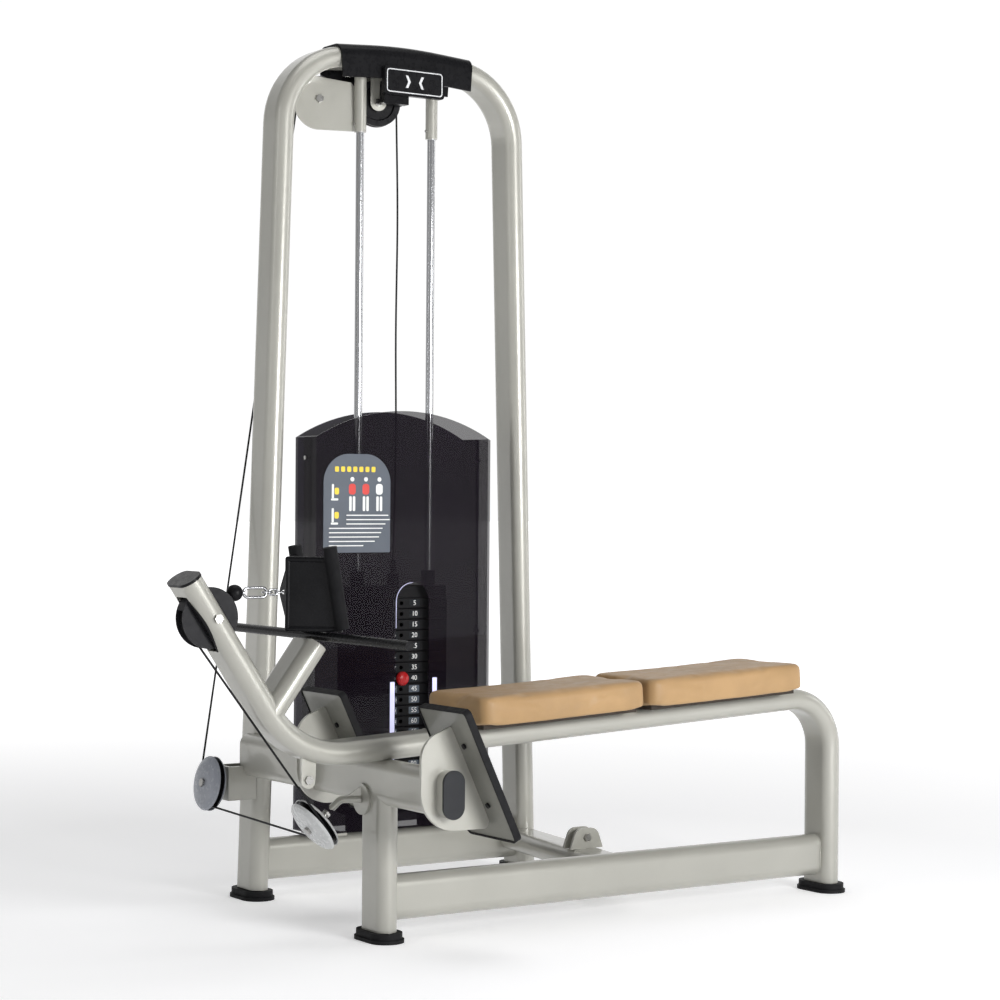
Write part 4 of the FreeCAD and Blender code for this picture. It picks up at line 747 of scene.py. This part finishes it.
def bead(name, middle, way, up, size=1.6):
    """A weld bead round a tube, size millimetres in radius."""
    ring = oval_points(middle, way, up)
    points = []
    for first, second in zip(ring, ring[1:] + ring[:1]):
        for share in (0.0, 0.5):
            points.append(first.lerp(second, share))
    points.append(points[0])
    mesh = tube(name, points, size / 1000.0, 8, lambda index: 1.0 + 0.12 * math.sin(index * 1.9))
    obj = piece(name, mesh, PAINT, "frame")


X = Vector((1, 0, 0))
Y = Vector((0, 1, 0))
Z = Vector((0, 0, 1))
bead("bead_rail_joint", at(130, 0, 423.5), RAIL_WAY, Y, 1.3)
bead("bead_bench_front", at(25.5, 0, 90), X, Z)
bead("bead_bench_rear", at(1240.5, 0, 90), X, Z)

# ---- stage, light and camera ----

AZIMUTH = math.radians(33.966)
FACING = Vector((math.sin(AZIMUTH), math.cos(AZIMUTH), 0.0))
SIDEWAYS = Vector((FACING.y, -FACING.x, 0.0))

# The floor glows more with distance, from 1.8 m to 7 m, so that it meets the background with no horizon.
FLOOR_HALF = 60.0
NEAR_GLOW = 0.36
FAR_GLOW = 1.02
GLOW_START = 1.8
GLOW_END = 7.0
floor_mesh = bmesh.new()
bmesh.ops.create_grid(floor_mesh, x_segments=1, y_segments=1, size=FLOOR_HALF)
floor = bpy.data.objects.new("floor", mesh_from("floor", floor_mesh))
scene.collection.objects.link(floor)
FLOOR = Look("floor_paper", (0.86, 0.86, 0.87), 0.9, specular=0.05)
FLOOR.tint(FLOOR.noise(0.6), (0.84, 0.84, 0.855))
FLOOR.set("Emission Color", (1.0, 1.0, 1.0, 1.0))
reach = FLOOR.tree.nodes.new("ShaderNodeVectorMath")
reach.operation = "LENGTH"
FLOOR.tree.links.new(FLOOR.place, reach.inputs[0])
glow = FLOOR.span(reach.outputs["Value"], NEAR_GLOW, FAR_GLOW, GLOW_START, GLOW_END)
FLOOR.tree.links.new(glow, FLOOR.shader.inputs["Emission Strength"])
floor.data.materials.append(FLOOR.material)

# The background is bright behind the machine, pale along the horizon and dim elsewhere.
WALL_START = 0.35
WALL_END = 0.85
WALL_DIM = 0.16
WALL_BRIGHT = 1.02
BAND_START = 0.06
BAND_END = 0.30
BAND_BRIGHT = 0.60
BAND_DIM = 0.14
world = bpy.data.worlds.new("studio")
scene.world = world
world.use_nodes = True
world_nodes = world.node_tree.nodes
links = world.node_tree.links


def eased(value, start, end, low, high):
    """A socket's values from start to end, mapped smoothly to run from low to high."""
    node = world_nodes.new("ShaderNodeMapRange")
    node.interpolation_type = "SMOOTHSTEP"
    node.inputs["From Min"].default_value = start
    node.inputs["From Max"].default_value = end
    node.inputs["To Min"].default_value = low
    node.inputs["To Max"].default_value = high
    links.new(value, node.inputs["Value"])
    return node.outputs["Result"]


looking = world_nodes.new("ShaderNodeTexCoord").outputs["Generated"]
facing = world_nodes.new("ShaderNodeVectorMath")
facing.operation = "DOT_PRODUCT"
facing.inputs[1].default_value = FACING
links.new(looking, facing.inputs[0])
split = world_nodes.new("ShaderNodeSeparateXYZ")
links.new(looking, split.inputs["Vector"])
brighter = world_nodes.new("ShaderNodeMath")
brighter.operation = "MAXIMUM"
wall = eased(facing.outputs["Value"], WALL_START, WALL_END, WALL_DIM, WALL_BRIGHT)
band = eased(split.outputs["Z"], BAND_START, BAND_END, BAND_BRIGHT, BAND_DIM)
links.new(wall, brighter.inputs[0])
links.new(band, brighter.inputs[1])
background = world_nodes["Background"]
background.inputs["Color"].default_value = (1.0, 1.0, 1.0, 1.0)
links.new(brighter.outputs["Value"], background.inputs["Strength"])


def softbox(name, ahead_by, right_by, height, aim, wide, tall, power):
    """A rectangular soft light, placed in the camera's directions, aimed at a height over the middle."""
    light = bpy.data.lights.new(name, "AREA")
    light.shape = "RECTANGLE"
    light.size = wide
    light.size_y = tall
    light.energy = power
    obj = bpy.data.objects.new(name, light)
    scene.collection.objects.link(obj)
    obj.location = FACING * ahead_by + SIDEWAYS * right_by + Vector((0.0, 0.0, height))
    obj.rotation_euler = (Vector((0.0, 0.0, aim)) - obj.location).to_track_quat("-Z", "Y").to_euler()


softbox("key_box", ahead_by=-3.3, right_by=2.9, height=1.4, aim=0.5, wide=1.5, tall=1.2, power=150.0)
softbox("left_box", ahead_by=-2.8, right_by=-4.0, height=2.6, aim=0.9, wide=0.5, tall=2.4, power=10.0)
softbox("top_box", ahead_by=-0.2, right_by=0.0, height=4.8, aim=0.0, wide=2.6, tall=2.6, power=45.0)
softbox("rim_box", ahead_by=1.8, right_by=5.0, height=2.0, aim=0.9, wide=0.6, tall=2.6, power=30.0)

PITCH = -0.0036
ROLL = 0.0076
CAMERA_AT = (-2696.4, -4458.2, 972.4)
LENS = 86.67
SENSOR = 36.0
CLIP_END = 200.0
ahead = FACING * math.cos(PITCH) + Vector((0.0, 0.0, math.sin(PITCH)))
upward = SIDEWAYS.cross(ahead)
rolled_right = SIDEWAYS * math.cos(ROLL) + upward * math.sin(ROLL)
rolled_up = upward * math.cos(ROLL) - SIDEWAYS * math.sin(ROLL)
camera = bpy.data.objects.new("camera", bpy.data.cameras.new("camera"))
scene.collection.objects.link(camera)
pose = Matrix((rolled_right, rolled_up, -ahead)).transposed().to_4x4()
pose.translation = at(*CAMERA_AT)
camera.matrix_world = pose
camera.data.sensor_width = SENSOR
camera.data.lens = LENS
camera.data.clip_end = CLIP_END
scene.camera = camera
scene.view_settings.view_transform = "Standard"
